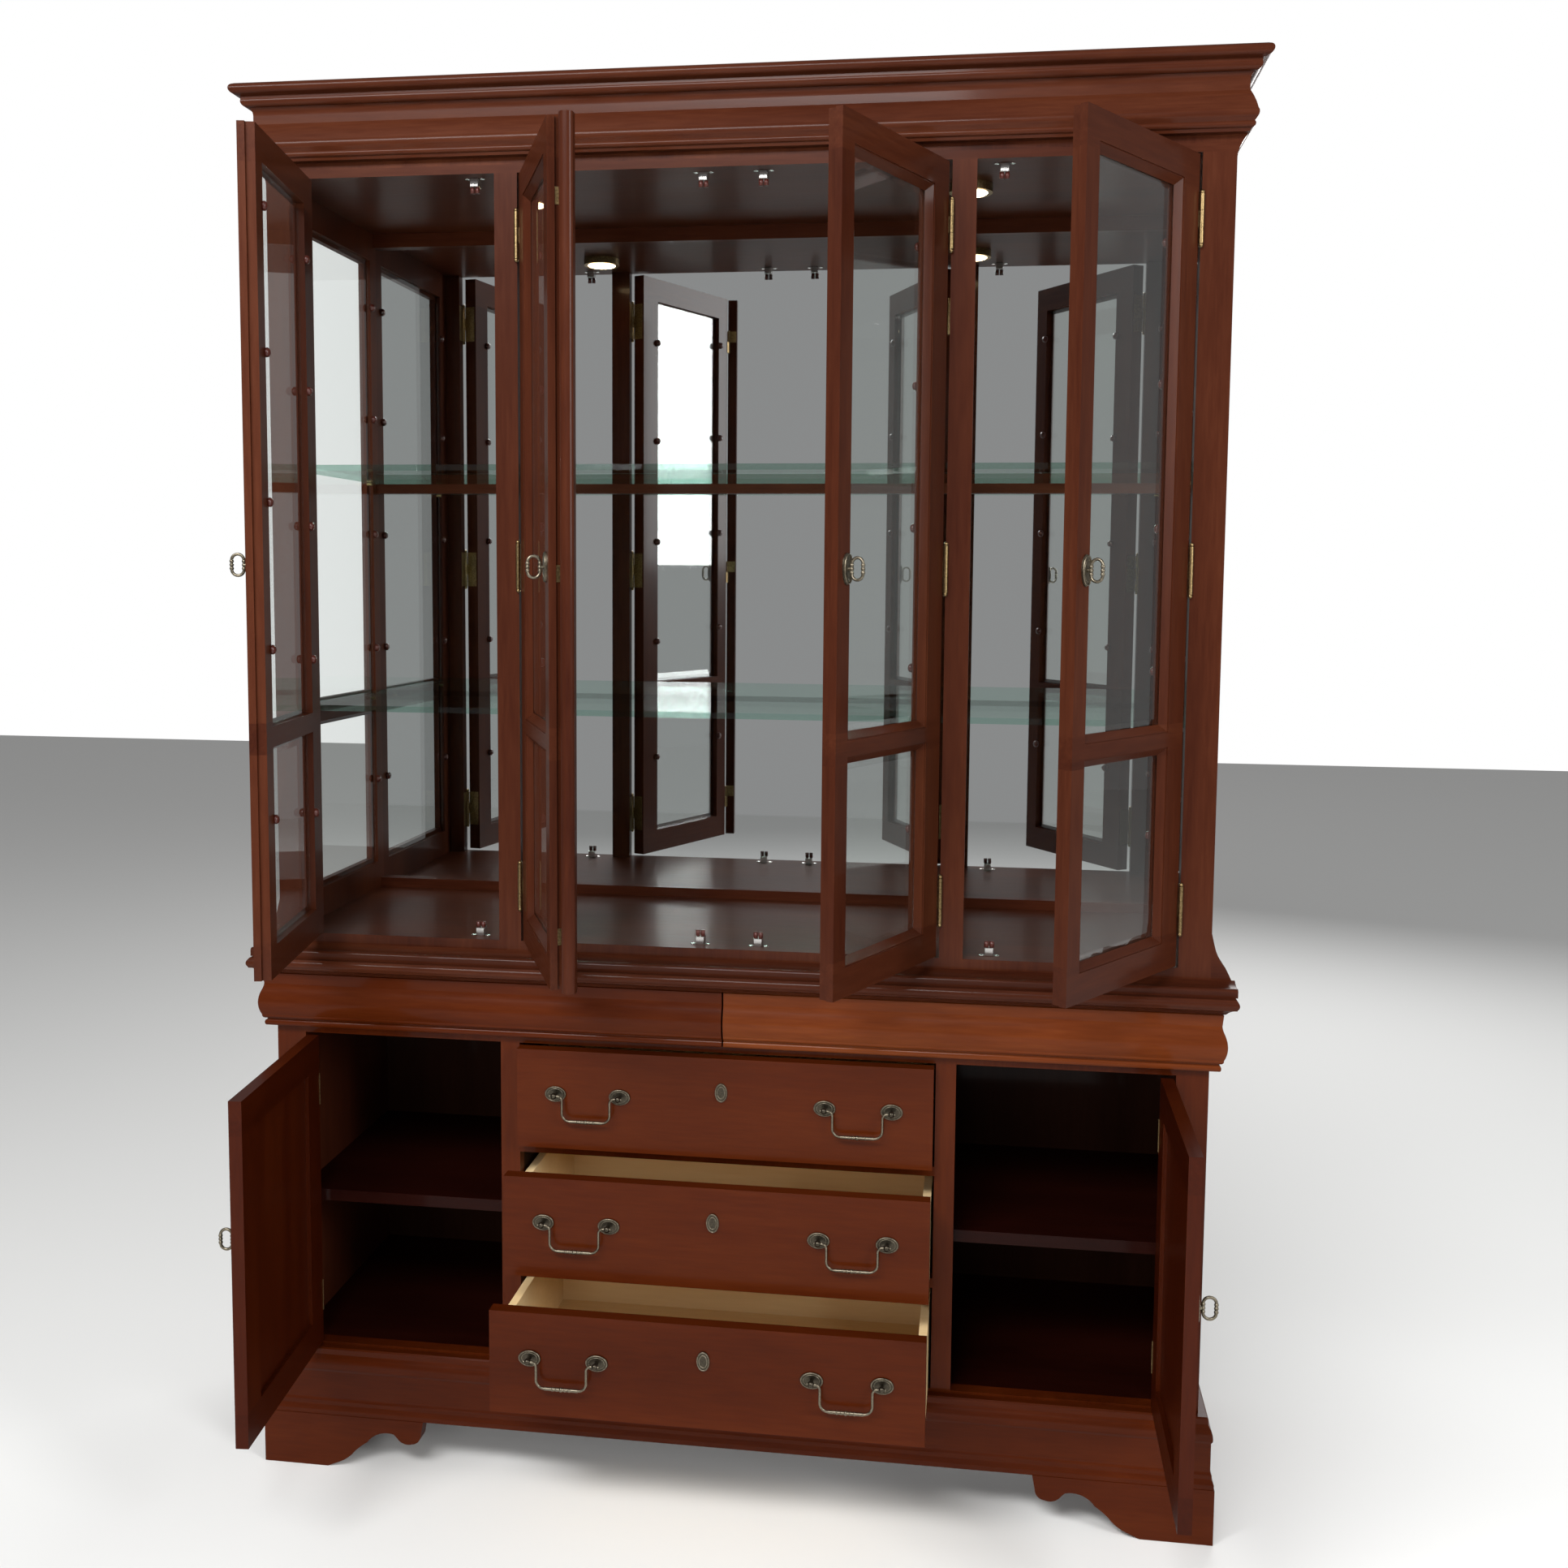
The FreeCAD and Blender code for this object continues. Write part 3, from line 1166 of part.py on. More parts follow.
def make_bail(name, x, face, z):
    """A drop handle: swan necks that leave their posts sideways, and a beaded grip between them."""
    reach = S.bail_centres / 2 + S.post_knob + S.bail_side_gap
    half = S.bail_centres / 2 - S.bail_inset
    wire = bail_wire(name + "_wire", reach, half)
    grip = half - S.bail_bend
    pieces = [wire, rod(name + "_grip", S.grip_radius, grip * 2, -grip, 0, -S.bail_drop, along="x")]
    for bead in (-2, -1, 0, 1, 2):
        radius = S.grip_bead if bead == 0 else S.grip_bead * SMALL_BEAD
        pieces.append(ball(f"{name}_bead_{bead + 2}", radius, bead * S.grip_bead_step, 0, -S.bail_drop,
                           poles="x"))
    node(name, move(fuse(name + "_whole", pieces), x, face - S.post_reach, z))


def make_drawer(number, pulled):
    level = drawer_level(number)
    face = depth(S.buffet_depth) - pulled
    gap = S.drawer_gap
    name = f"drawer_{number}"
    half = S.drawer_half - gap
    z = (level + gap, level + DRAWER_CLEAR - gap)
    blank = slab(name + "_blank", (-half, half), (face, face + S.front_thickness), z)
    node(name + "_front", blank)
    make_box(name + "_box", (-S.drawer_half + S.box_side_gap, S.drawer_half - S.box_side_gap),
             face + S.front_thickness, S.box_depth, level + S.slide_clearance, S.box_height)
    centre = (z[0] + z[1]) / 2
    plates = []
    for side, side_name in ((-1, "left"), (1, "right")):
        middle = side * S.pull_spacing / 2
        rise = centre + S.pull_rise
        for index, sign in enumerate((-1, 1)):
            plates.append(post(f"{name}_post_{side_name}_{index}", middle + sign * S.bail_centres / 2,
                               face, rise))
        make_bail(f"{name}_bail_{side_name}", middle, face, rise)
    plates.append(disc(name + "_escutcheon", S.escutcheon_half_width, S.escutcheon_half_height,
                       S.plate_thickness, Size.of(0), face, centre + S.escutcheon_rise))
    node(name + "_plates", group(name + "_metal", plates))


def make_box(name, x, front, length, floor, height):
    """A drawer box, open at the top."""
    outside = slab(name + "_outside", x, (front, front + length), (floor, floor + height))
    wall = S.drawer_side
    inside = slab(name + "_inside", (x[0] + wall, x[1] - wall), (front + wall, front + length - wall),
                  (floor + S.drawer_bottom, floor + height + OVERSHOOT))
    return node(name, cut(name + "_hollow", outside, [inside]))


def make_frieze_drawer(side, side_name):
    """Half of the waist moulding, with a shallow box behind it."""
    name = f"frieze_drawer_{side_name}"
    start, path = waist_profile()
    play = float(S.mitre_gap)
    begin, steps = mapped(start, path, lambda point: (-point[0], point[1]))
    steps = steps + [("line", (-play, path[-1][-1][1])), ("line", (-play, start[1]))]
    seam = S.frieze_seam / 2
    length = HALF + S.mitre_reach - seam
    x_start = seam if side > 0 else -HALF - S.mitre_reach
    run = profile_body(name + "_run", "YZ_Plane", begin, steps, length, x_start,
                       depth(S.buffet_depth), FRIEZE_FLOOR)
    moulding = mitre_cut(name + "_moulding", run, side, keep_front=True)
    floor = FRIEZE_FLOOR + S.frieze_lift
    inner = mirrored(side, S.drawer_side / 2 + S.box_side_gap, OPENING_HALF - S.box_side_gap)
    block = slab(name + "_block", inner, (depth(S.buffet_depth) - S.mitre_gap,
                                          depth(S.buffet_depth - S.front_thickness)),
                 (floor, TOP_FLOOR - S.box_side_gap))
    node(name + "_front", fuse(name + "_face", [moulding, block]))
    make_box(name + "_box", inner, depth(S.buffet_depth - S.front_thickness), S.frieze_box_depth,
             FRIEZE_FLOOR + S.slide_clearance, S.frieze_box_height)


def make_everything():
    make_feet()
    make_base_moulding()
    make_buffet_sides()
    make_buffet_inner()
    make_face_frame()
    make_backs()
    make_buffet_top()
    make_hutch_base_moulding()
    make_hutch_boards()
    make_hutch_face_frame()
    make_hutch_sides()
    make_cornice()
    make_mirror()
    make_glass_shelves()
    make_lights()
    make_case_hardware()
    for door in HUTCH_DOORS:
        make_hutch_door(door)
        make_hutch_fittings(door)
    make_centre_stile(HUTCH_DOORS[1])
    for door in CUPBOARD_DOORS:
        make_cupboard_door(door)
        make_cupboard_fittings(door)
    for number, pulled in ((1, S.pull_top), (2, S.pull_middle), (3, S.pull_bottom)):
        make_drawer(number, pulled)
    for side, side_name in ((-1, "left"), (1, "right")):
        make_frieze_drawer(side, side_name)


def verify():
    """Every feature must have recomputed cleanly and every node must hold a valid shape."""
    for obj in doc.Objects:
        if "Invalid" in obj.State or "Error" in obj.State:
            raise RuntimeError(f"{obj.Name} did not recompute: {obj.State}")
    for name, obj in NODES.items():
        shape = obj.Shape
        if shape.isNull() or not shape.isValid() or not shape.Solids:
            raise RuntimeError(f"{name} has no valid solid")


def export():
    os.makedirs("parts", exist_ok=True)
    for name, obj in NODES.items():
        obj.Shape.exportStep(f"parts/{name}.step")


make_everything()
doc.recompute()
verify()
export()
print(len(NODES), "nodes")
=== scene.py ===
# %% [markdown]
# China cabinet with glass doors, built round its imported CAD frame. The frame already holds every board,
# hinge, drawer and pane at its real size, so this file gives each piece its finish, adds the small pieces
# that only the eye needs, and sets up the floor, the light and the camera. Everything is in metres, in the
# frame's own axes: +X to the viewer's right, -Y towards the viewer, +Z up.

# %% Load the frame
import json
import math

import bmesh
import bpy
from mathutils import Matrix, Vector


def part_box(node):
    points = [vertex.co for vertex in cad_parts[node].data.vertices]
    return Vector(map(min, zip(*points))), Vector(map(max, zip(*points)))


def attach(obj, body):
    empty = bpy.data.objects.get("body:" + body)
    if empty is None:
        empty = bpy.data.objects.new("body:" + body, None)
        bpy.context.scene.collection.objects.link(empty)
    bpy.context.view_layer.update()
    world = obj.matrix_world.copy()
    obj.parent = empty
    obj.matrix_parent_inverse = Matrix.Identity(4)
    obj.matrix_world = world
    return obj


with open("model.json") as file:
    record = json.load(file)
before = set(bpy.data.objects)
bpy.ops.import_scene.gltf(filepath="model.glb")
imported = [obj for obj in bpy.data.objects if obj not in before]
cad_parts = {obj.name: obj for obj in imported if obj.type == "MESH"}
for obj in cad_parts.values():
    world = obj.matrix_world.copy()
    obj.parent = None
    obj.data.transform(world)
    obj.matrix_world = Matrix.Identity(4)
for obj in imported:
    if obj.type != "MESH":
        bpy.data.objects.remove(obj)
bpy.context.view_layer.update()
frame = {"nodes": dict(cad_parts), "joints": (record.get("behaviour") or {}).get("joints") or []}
MM = 0.001
nodes = frame["nodes"]

# %% [markdown]
# Where things are comes from the frame: a node's box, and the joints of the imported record. A standing door
# is turned about its hinge, so its own directions are found from the joint: the lower end of the hinge's
# range says how far it has to turn to close.

# %% Places read from the frame
joints = {joint["child"]: joint for joint in frame["joints"]}


def low(node):
    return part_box(node)[0]


def high(node):
    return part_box(node)[1]


class Leaf:
    """A standing door: its hinge line, and the directions along it and through it."""

    def __init__(self, body):
        joint = joints[body]
        self.body = body
        self.hinge = Vector(joint["pos_m"])
        self.hand = -1 if joint["axis"][2] > 0 else 1
        self.turn = math.radians(joint["range_deg"][0]) * self.hand
        self.along = Vector((math.cos(self.turn), math.sin(self.turn), 0)) * self.hand
        self.inward = Vector((-math.sin(self.turn), math.cos(self.turn), 0))

    def at(self, along, inward, height):
        """A point by its distance from the hinge, its depth behind the axis and its height."""
        place = self.hinge + self.along * along + self.inward * inward
        return Vector((place.x, place.y, height))


HUTCH_LEAVES = [Leaf("hutch_door_" + place) for place in ("left", "centre_left", "centre_right", "right")]
CUPBOARD_LEAVES = [Leaf("cupboard_door_" + place) for place in ("left", "right")]
for leaf in HUTCH_LEAVES + CUPBOARD_LEAVES:
    print(leaf.body, "stands open by", round(abs(math.degrees(leaf.turn)), 1), "degrees")

# %% [markdown]
# A material is a small graph of nodes. Written out call by call it is hard to read, so one class wraps a
# socket and lets ordinary arithmetic add the Math nodes, and one method makes any other node from its
# type, its settings and its inputs.

# %% A socket that does arithmetic
class Socket:
    """A number that varies over a surface. + - * and > < on it add Math nodes."""

    def __init__(self, graph, link):
        self.graph = graph
        self.link = link

    def math(self, operation, *others):
        return self.graph.node("ShaderNodeMath", {"operation": operation}, self, *others)

    def __add__(self, other):
        return self.math("ADD", other)

    __radd__ = __add__

    def __mul__(self, other):
        return self.math("MULTIPLY", other)

    __rmul__ = __mul__

    def __sub__(self, other):
        return self.math("SUBTRACT", other)

    def __rsub__(self, other):
        """The reflected form, so that 1 - mask works."""
        return self.graph.node("ShaderNodeMath", {"operation": "SUBTRACT"}, other, self)

    def __gt__(self, other):
        return self.math("GREATER_THAN", other)

    def __lt__(self, other):
        return self.math("LESS_THAN", other)


class Graph:
    """One material's node graph, with its Principled shader ready to be fed."""

    def __init__(self, name):
        self.material = bpy.data.materials.new(name)
        self.material.use_nodes = True
        self.tree = self.material.node_tree
        self.shader = self.tree.nodes["Principled BSDF"]

    def feed(self, socket, value):
        if isinstance(value, Socket):
            self.tree.links.new(value.link, socket)
        else:
            socket.default_value = value

    def node(self, kind, settings, *inputs, output=0, **named):
        """Make a node: settings first, then its inputs by position or by name."""
        made = self.tree.nodes.new(kind)
        for key, value in settings.items():
            if key == "stops":
                set_stops(made.color_ramp, value)
            else:
                setattr(made, key, value)
        for socket, value in zip(made.inputs, inputs):
            if value is not None:
                self.feed(socket, value)
        for key, value in named.items():
            self.feed(made.inputs[key.replace("_", " ")], value)
        return Socket(self, made.outputs[output])

    def set(self, **values):
        """Feed the Principled shader; a space in a socket's name is written as _."""
        for key, value in values.items():
            self.feed(self.shader.inputs[key.replace("_", " ")], value)
        return self


def set_stops(ramp, stops):
    """Stops are (position, colour) pairs."""
    while len(ramp.elements) < len(stops):
        ramp.elements.new(0.5)
    for element, (position, colour) in zip(ramp.elements, stops):
        element.position = position
        element.color = (*colour, 1)


print("materials can be written as expressions")

# %% [markdown]
# The cabinet is red-brown cherry under satin lacquer. Wood is not one colour: fine dark pores run along
# the board, and wide slow bands of lighter and darker wood follow them. An image of a board would have to
# be laid out on every piece; a noise needs no layout, so both are noise, squeezed until it is long and
# thin. Squeezing another axis turns the grain, so rails get theirs across and stiles get theirs upright.
# A standing door turns its coordinates back by its own angle first.

# %% Cherry
CHERRY = ((0.024, 0.0050, 0.0024), (0.047, 0.0112, 0.0046), (0.080, 0.0220, 0.0090))
DRAWER_CHERRY = ((0.031, 0.0046, 0.0007), (0.054, 0.0086, 0.0012), (0.084, 0.0160, 0.0026))
# The next palette darkens the cupboard doors' cherry: partly the wood's own deeper tone, partly painted
# shade for the shadow inside the open cupboard.
DOOR_CHERRY_PAINTED_SHADE = ((0.021, 0.0029, 0.0006), (0.036, 0.0052, 0.0010), (0.058, 0.0098, 0.0019))
AMBER_CHERRY = ((0.058, 0.0105, 0.0022), (0.100, 0.0210, 0.0044), (0.155, 0.0390, 0.0085))
# The next palette is painted shade: near-black cherry for the buffet's inner panels, which stay in shadow
# inside the cupboard.
INSIDE_PAINTED_SHADE = ((0.0060, 0.0008, 0.0004), (0.0120, 0.0017, 0.0008), (0.0210, 0.0036, 0.0015))
STOP_PLACES = (0.25, 0.50, 0.80)
BAND_SHARE, PORE_SHARE = 0.72, 0.28
SQUEEZE = 0.09
PORE_FINENESS = 22
OBJECT_COORDINATES = 3


def grain_value(graph, place, grain, scale):
    """Noise drawn out along one direction: 0 is dark wood, 1 is light."""
    squeeze = {"x": (SQUEEZE, 1, 1), "z": (1, 1, SQUEEZE)}[grain]
    drawn = graph.node("ShaderNodeVectorMath", {"operation": "MULTIPLY"}, place, squeeze)
    bands = graph.node("ShaderNodeTexNoise", {}, Vector=drawn, Scale=scale, Detail=4.0, Roughness=0.6,
                       Distortion=0.4)
    pores = graph.node("ShaderNodeTexNoise", {}, Vector=drawn, Scale=scale * PORE_FINENESS, Detail=2.0,
                       Roughness=0.6)
    return bands, pores


def wood(name, grain, colours, turn=0.0, roughness=0.27, rails=None, scale=9.0):
    """Lacquered wood. Rails is (grain, [(low, high), ...]): heights where the grain lies the other way."""
    graph = Graph(name)
    place = graph.node("ShaderNodeTexCoord", {}, output=OBJECT_COORDINATES)
    if turn:
        place = graph.node("ShaderNodeVectorRotate", {"rotation_type": "Z_AXIS"}, Vector=place, Angle=-turn)
    bands, pores = grain_value(graph, place, grain, scale)
    if rails:
        z = graph.node("ShaderNodeSeparateXYZ", {}, place, output=2)
        lying = None
        for bottom, top in rails[1]:
            inside = (z > bottom) * (z < top)
            lying = inside if lying is None else lying + inside
        other_bands, other_pores = grain_value(graph, place, rails[0], scale)
        bands = bands + (other_bands - bands) * lying
        pores = pores + (other_pores - pores) * lying
    tone = bands * BAND_SHARE + pores * PORE_SHARE
    colour = graph.node("ShaderNodeValToRGB", {"stops": list(zip(STOP_PLACES, colours))}, tone)
    bump = graph.node("ShaderNodeBump", {}, Strength=0.05, Distance=0.0004, Height=pores)
    graph.set(Base_Color=colour, Roughness=roughness + pores * 0.10, Normal=bump, Coat_Weight=0.10,
              Coat_Roughness=0.10, Specular_IOR_Level=0.05)
    return graph.material


upright = wood("cherry_upright", "z", CHERRY)
lengthwise = wood("cherry_lengthwise", "x", CHERRY)
warm_lengthwise = wood("warm_cherry", "x", DRAWER_CHERRY)
print("cherry with its grain upright and lengthwise")

# %% [markdown]
# Each piece of the case takes one material over its whole mesh. Boards were cut from different planks, so
# the tone changes a little from piece to piece: the cornice and the tops are brown, the base and the
# drawer fronts redder, the right frieze drawer is the palest. Where a frame is one mesh but its rails lie
# across its stiles, the material itself turns the grain between given heights; splitting the mesh into
# rails and stiles would change the CAD.

# %% Finish for each node
def finish(node, material):
    """Give a CAD node one material all over."""
    obj = nodes[node]
    obj.data.materials.clear()
    obj.data.materials.append(material)


def bands_of(frame_node, members):
    """Heights where the grain lies across: from the node's bottom, or from its top if below 0."""
    bottom, top = low(frame_node).z, high(frame_node).z
    return [(bottom + a, bottom + b) if a >= 0 else (top + a, top + b) for a, b in members]


for name in ("cornice", "buffet_top", "hutch_base_moulding", "hutch_boards"):
    finish(name, lengthwise)
finish("base_moulding", warm_lengthwise)
finish("bracket_feet", wood("foot_cherry", "x", DRAWER_CHERRY))
finish("buffet_sides", upright)

HEAD_RAIL = [(-22 * MM, 10 * MM), (-10 * MM, 32 * MM)]
hutch_rails = ("x", bands_of("hutch_face_frame", HEAD_RAIL))
finish("hutch_face_frame", wood("hutch_frame_cherry", "z", CHERRY, rails=hutch_rails))
finish("buffet_face_frame", wood("buffet_frame_cherry", "z", DRAWER_CHERRY))
finish("hutch_side_frames", wood("side_frame_cherry", "z", CHERRY))
# The inner panels take the near-black palette, which is painted shade for the inside of the cupboard, not a
# darker wood.
finish("buffet_inner_panels", wood("inside_painted_shade", "x", INSIDE_PAINTED_SHADE, roughness=0.42))
finish("centre_stile", upright)
finish("frieze_drawer_left_front", wood("frieze_left_cherry", "x", DRAWER_CHERRY))
finish("frieze_drawer_right_front", wood("frieze_right_cherry", "x", AMBER_CHERRY))
for number in (1, 2, 3):
    finish(f"drawer_{number}_front", wood(f"drawer_{number}_cherry", "x", DRAWER_CHERRY, roughness=0.30))
print("wood on every case piece")

# %% [markdown]
# The doors have their grain across in the rails and upright in the stiles. A hutch door has three rails, a
# cupboard door two; their heights are the CAD's own sizes, measured from the bottom and the top edge.

# %% Wood of the doors
HUTCH_RAIL = 50 * MM
MIDDLE_RAIL = (303 * MM, 345 * MM)
CUPBOARD_RAIL = 48 * MM
for leaf in HUTCH_LEAVES:
    node = leaf.body + "_frame"
    rails = ("x", bands_of(node, [(0, HUTCH_RAIL), MIDDLE_RAIL, (-HUTCH_RAIL, 0)]))
    finish(node, wood(leaf.body + "_cherry", "z", CHERRY, turn=leaf.turn, rails=rails))
# The cupboard doors' darker cherry is partly their own tone and partly painted shade, standing in for the
# shadow inside the cupboard.
for leaf in CUPBOARD_LEAVES:
    node = leaf.body + "_wood"
    rails = ("x", bands_of(node, [(0, CUPBOARD_RAIL), (-CUPBOARD_RAIL, 0)]))
    finish(node, wood(leaf.body + "_cherry", "z", DOOR_CHERRY_PAINTED_SHADE, turn=leaf.turn, rails=rails))
print("wood on", len(HUTCH_LEAVES), "hutch doors and", len(CUPBOARD_LEAVES), "cupboard doors")

# %% [markdown]
# The drawer boxes are pale maple, and the backs are a thin dark board. Both are the same squeezed noise
# with other colours: a slower grain for the maple, and a dull, rougher surface for the unlacquered back.

# %% Maple and back board
MAPLE = ((0.70, 0.49, 0.24), (0.79, 0.58, 0.31), (0.86, 0.67, 0.39))
maple = wood("maple", "x", MAPLE, roughness=0.38, scale=7.0)
for name in nodes:
    if name.endswith("_box"):
        finish(name, maple)
BACK_BOARD = ((0.009, 0.0028, 0.0015), (0.015, 0.0048, 0.0025), (0.023, 0.0080, 0.0042))
finish("back_panels", wood("back_board", "z", BACK_BOARD, roughness=0.6))
print("maple boxes and dark backs")

# %% [markdown]
# The panes are thin clear glass, the shelves are thicker and look green. A refracting shader is the usual
# way, but it costs many bounces and leaves a case full of glass dark, so here a mirror reflection is
# mixed over plain transparency: a little head-on, a lot at a glancing view. The back of the hutch is one
# mirror, which is a metal with hardly any roughness.

# %% Glass and mirror
FACING = 1


def clear_glass(name, tint, head_on=0.05, glancing=0.75):
    """Clear from in front, a mirror at a glancing view. Facing runs from 0 head-on to 1 edge-on."""
    graph = Graph(name)
    tree = graph.tree
    clear = graph.node("ShaderNodeBsdfTransparent", {}, tint)
    gloss = graph.node("ShaderNodeBsdfGlossy", {}, (1, 1, 1, 1), Roughness=0.0)
    facing = graph.node("ShaderNodeLayerWeight", {}, 0.5, output=FACING)
    square = facing * facing
    mixed = graph.node("ShaderNodeMixShader", {}, square * square * glancing + head_on, clear, gloss)
    tree.links.new(mixed.link, tree.nodes["Material Output"].inputs["Surface"])
    return graph.material


pane_glass = clear_glass("bevelled_glass", (0.96, 0.98, 0.97, 1))
shelf_glass = clear_glass("shelf_glass", (0.78, 0.92, 0.87, 1), 0.03, 0.5)
for name in nodes:
    if name.endswith("_panes"):
        finish(name, pane_glass)
finish("glass_shelves", shelf_glass)
silver = Graph("silvered_mirror").set(Base_Color=(0.82, 0.84, 0.84, 1), Metallic=1.0, Roughness=0.015)
finish("mirror", silver.material)
print("panes, shelves and mirror")

# %% [markdown]
# The hardware is brass with a dark antique finish. Handles and the rims of the plates are rubbed bright by
# hands and polish, the plates stay dark, and the hinges are the plainer yellow brass. One fine noise drives
# both the colour and the roughness, so that worn spots are brighter and duller together.

# %% Aged brass
def aged_brass(name, dark, bright):
    """Metal that runs from its dark finish to its worn colour."""
    graph = Graph(name)
    place = graph.node("ShaderNodeTexCoord", {}, output=OBJECT_COORDINATES)
    worn = graph.node("ShaderNodeTexNoise", {}, Vector=place, Scale=420.0, Detail=3.0, Roughness=0.6)
    colour = graph.node("ShaderNodeValToRGB", {"stops": [(0.30, dark), (0.75, bright)]}, worn)
    graph.set(Base_Color=colour, Metallic=1.0, Roughness=0.26 + worn * 0.22)
    return graph.material


antique = aged_brass("antique_brass", (0.045, 0.038, 0.029), (0.100, 0.085, 0.062))
rubbed = aged_brass("rubbed_brass", (0.115, 0.098, 0.070), (0.27, 0.235, 0.175))
hinge_brass = aged_brass("hinge_brass", (0.15, 0.100, 0.045), (0.38, 0.27, 0.13))
for name in nodes:
    if name.endswith(("_fittings", "_leaves")) or name == "case_hardware":
        finish(name, hinge_brass)
    if name.endswith("_plates"):
        finish(name, antique)
    if name.endswith("_pull") or "_bail_" in name:
        finish(name, rubbed)
finish("ceiling_lights", hinge_brass)
print("brass hardware")

# %% [markdown]
# Small pieces. The frame has everything that moves or carries load; what is left is what the eye finds up
# close: rims on the oval plates, buttons that hold the panes, screws in the hinge leaves, rollers in the
# catches and the lit lenses of the lamps. Each one is made at its real place, takes a material slot, and
# rides on the body it is fixed to, so it follows its door or drawer. Turned pieces come from a profile
# swept round an axis, written out as vertices and faces, because a cylinder would have no rounded edge.

# %% Making and placing a small piece
def add_piece(obj, body, material):
    """Name the finish of a new piece and fix it to its body."""
    obj.data.materials.append(material)
    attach(obj, body)
    return obj


def place_mesh(mesh):
    """Put a finished mesh into the scene as an object of the same name."""
    obj = bpy.data.objects.new(mesh.name, mesh)
    bpy.context.scene.collection.objects.link(obj)
    return obj


def new_mesh(name, vertices, faces):
    """A smooth-shaded object from its vertices and faces."""
    mesh = bpy.data.meshes.new(name)
    mesh.from_pydata([tuple(v) for v in vertices], [], faces)
    mesh.validate()
    mesh.polygons.foreach_set("use_smooth", [True] * len(mesh.polygons))
    return place_mesh(mesh)


def turned(name, profile, centre, axis, sides=20):
    """A closed lathe form: profile is (radius, distance along the axis) from end to end."""
    axis = Vector(axis).normalized()
    across = axis.orthogonal().normalized()
    around = axis.cross(across)
    vertices = [Vector(centre) + axis * profile[0][1]]
    for radius, along in profile[1:-1]:
        for step in range(sides):
            angle = 2 * math.pi * step / sides
            rim = (across * math.cos(angle) + around * math.sin(angle)) * radius
            vertices.append(Vector(centre) + axis * along + rim)
    vertices.append(Vector(centre) + axis * profile[-1][1])
    rings = len(profile) - 2
    last = len(vertices) - 1
    faces = []
    for step in range(sides):
        after = (step + 1) % sides
        faces.append((0, 1 + after, 1 + step))
        faces.append((last, last - sides + step, last - sides + after))
        for ring in range(rings - 1):
            first = 1 + ring * sides
            faces.append((first + step, first + after, first + sides + after, first + sides + step))
    return new_mesh(name, vertices, faces)


def oval_rim(name, centre, across, half_wide, half_tall, wire, sides=40, round_sides=8):
    """A thin bead of wire laid round an oval plate."""
    across = Vector(across).normalized()
    up = Vector((0, 0, 1))
    out = across.cross(up)
    vertices = []
    for step in range(sides):
        angle = 2 * math.pi * step / sides
        spoke = (across * math.cos(angle) * half_tall + up * math.sin(angle) * half_wide).normalized()
        hub = Vector(centre) + across * math.cos(angle) * half_wide + up * math.sin(angle) * half_tall
        for turn in range(round_sides):
            swing = 2 * math.pi * turn / round_sides
            vertices.append(hub + (spoke * math.cos(swing) + out * math.sin(swing)) * wire)
    faces = []
    for step in range(sides):
        after = (step + 1) % sides
        for turn in range(round_sides):
            beside = (turn + 1) % round_sides
            faces.append((step * round_sides + turn, step * round_sides + beside,
                          after * round_sides + beside, after * round_sides + turn))
    return new_mesh(name, vertices, faces)


def dome(radius, height):
    """Profile of a low round button."""
    steps = [math.radians(angle) for angle in (0, 25, 50, 72)]
    curve = [(radius * math.cos(a), height * (0.35 + 0.65 * math.sin(a))) for a in steps]
    return [(0, 0), (radius * 0.96, 0)] + curve + [(0, height)]


print("turned pieces, oval rims and domes can be made")

# %% [markdown]
# Each drop handle hangs from two posts on oval rosettes, and each drawer has an oval keyhole plate in the
# middle. On the real plates a bead runs round the edge and a finer line inside it. The CAD plates are
# flat, so both are thin wires bent to an oval and laid on the face: real relief, where a bump in the
# material would vanish from the side.

# %% Rims on the drawer plates
PLATE = 2.0 * MM
POST_RISE = 9 * MM
KEYHOLE_RISE = 24 * MM
ROSETTE = (16 * MM, 11.5 * MM)
KEYHOLE = (9 * MM, 14 * MM)
ACROSS = (1, 0, 0)
BEAD = 1.1 * MM
ROSETTE_RINGS = (("rim", 0.93, 0.93), ("line", 0.70, 0.5))
KEYHOLE_RINGS = (("rim", 0.92), ("line", 0.62))
KEYHOLE_BEAD = BEAD * 0.9
PULL_CENTRE = 200 * MM
POST_CENTRE = 48.5 * MM
made = 0
for number in (1, 2, 3):
    body = f"drawer_{number}"
    front = low(body + "_front")
    middle = (front.z + high(body + "_front").z) / 2
    face = front.y - PLATE
    for pull in (-1, 1):
        for post in (-1, 1):
            x = pull * PULL_CENTRE + post * POST_CENTRE
            for part, share, thickness in ROSETTE_RINGS:
                name = f"{body}_rosette_{part}_{pull + 1}{post + 1}"
                rim = oval_rim(name, (x, face, middle + POST_RISE), ACROSS, ROSETTE[0] * share,
                               ROSETTE[1] * share, BEAD * thickness)
                add_piece(rim, body, rubbed)
                made += 1
    for part, share in KEYHOLE_RINGS:
        rim = oval_rim(f"{body}_keyhole_{part}", (0, face, middle + KEYHOLE_RISE), ACROSS,
                       KEYHOLE[0] * share, KEYHOLE[1] * share, KEYHOLE_BEAD)
        add_piece(rim, body, rubbed)
        made += 1
print(made, "rims on the drawers")

# %% [markdown]
# The pull of a door stands on an upright oval plate with the same bead and line. The plate is found from
# the box of the pull, and its rims are laid along the door's own direction, because the doors stand open.

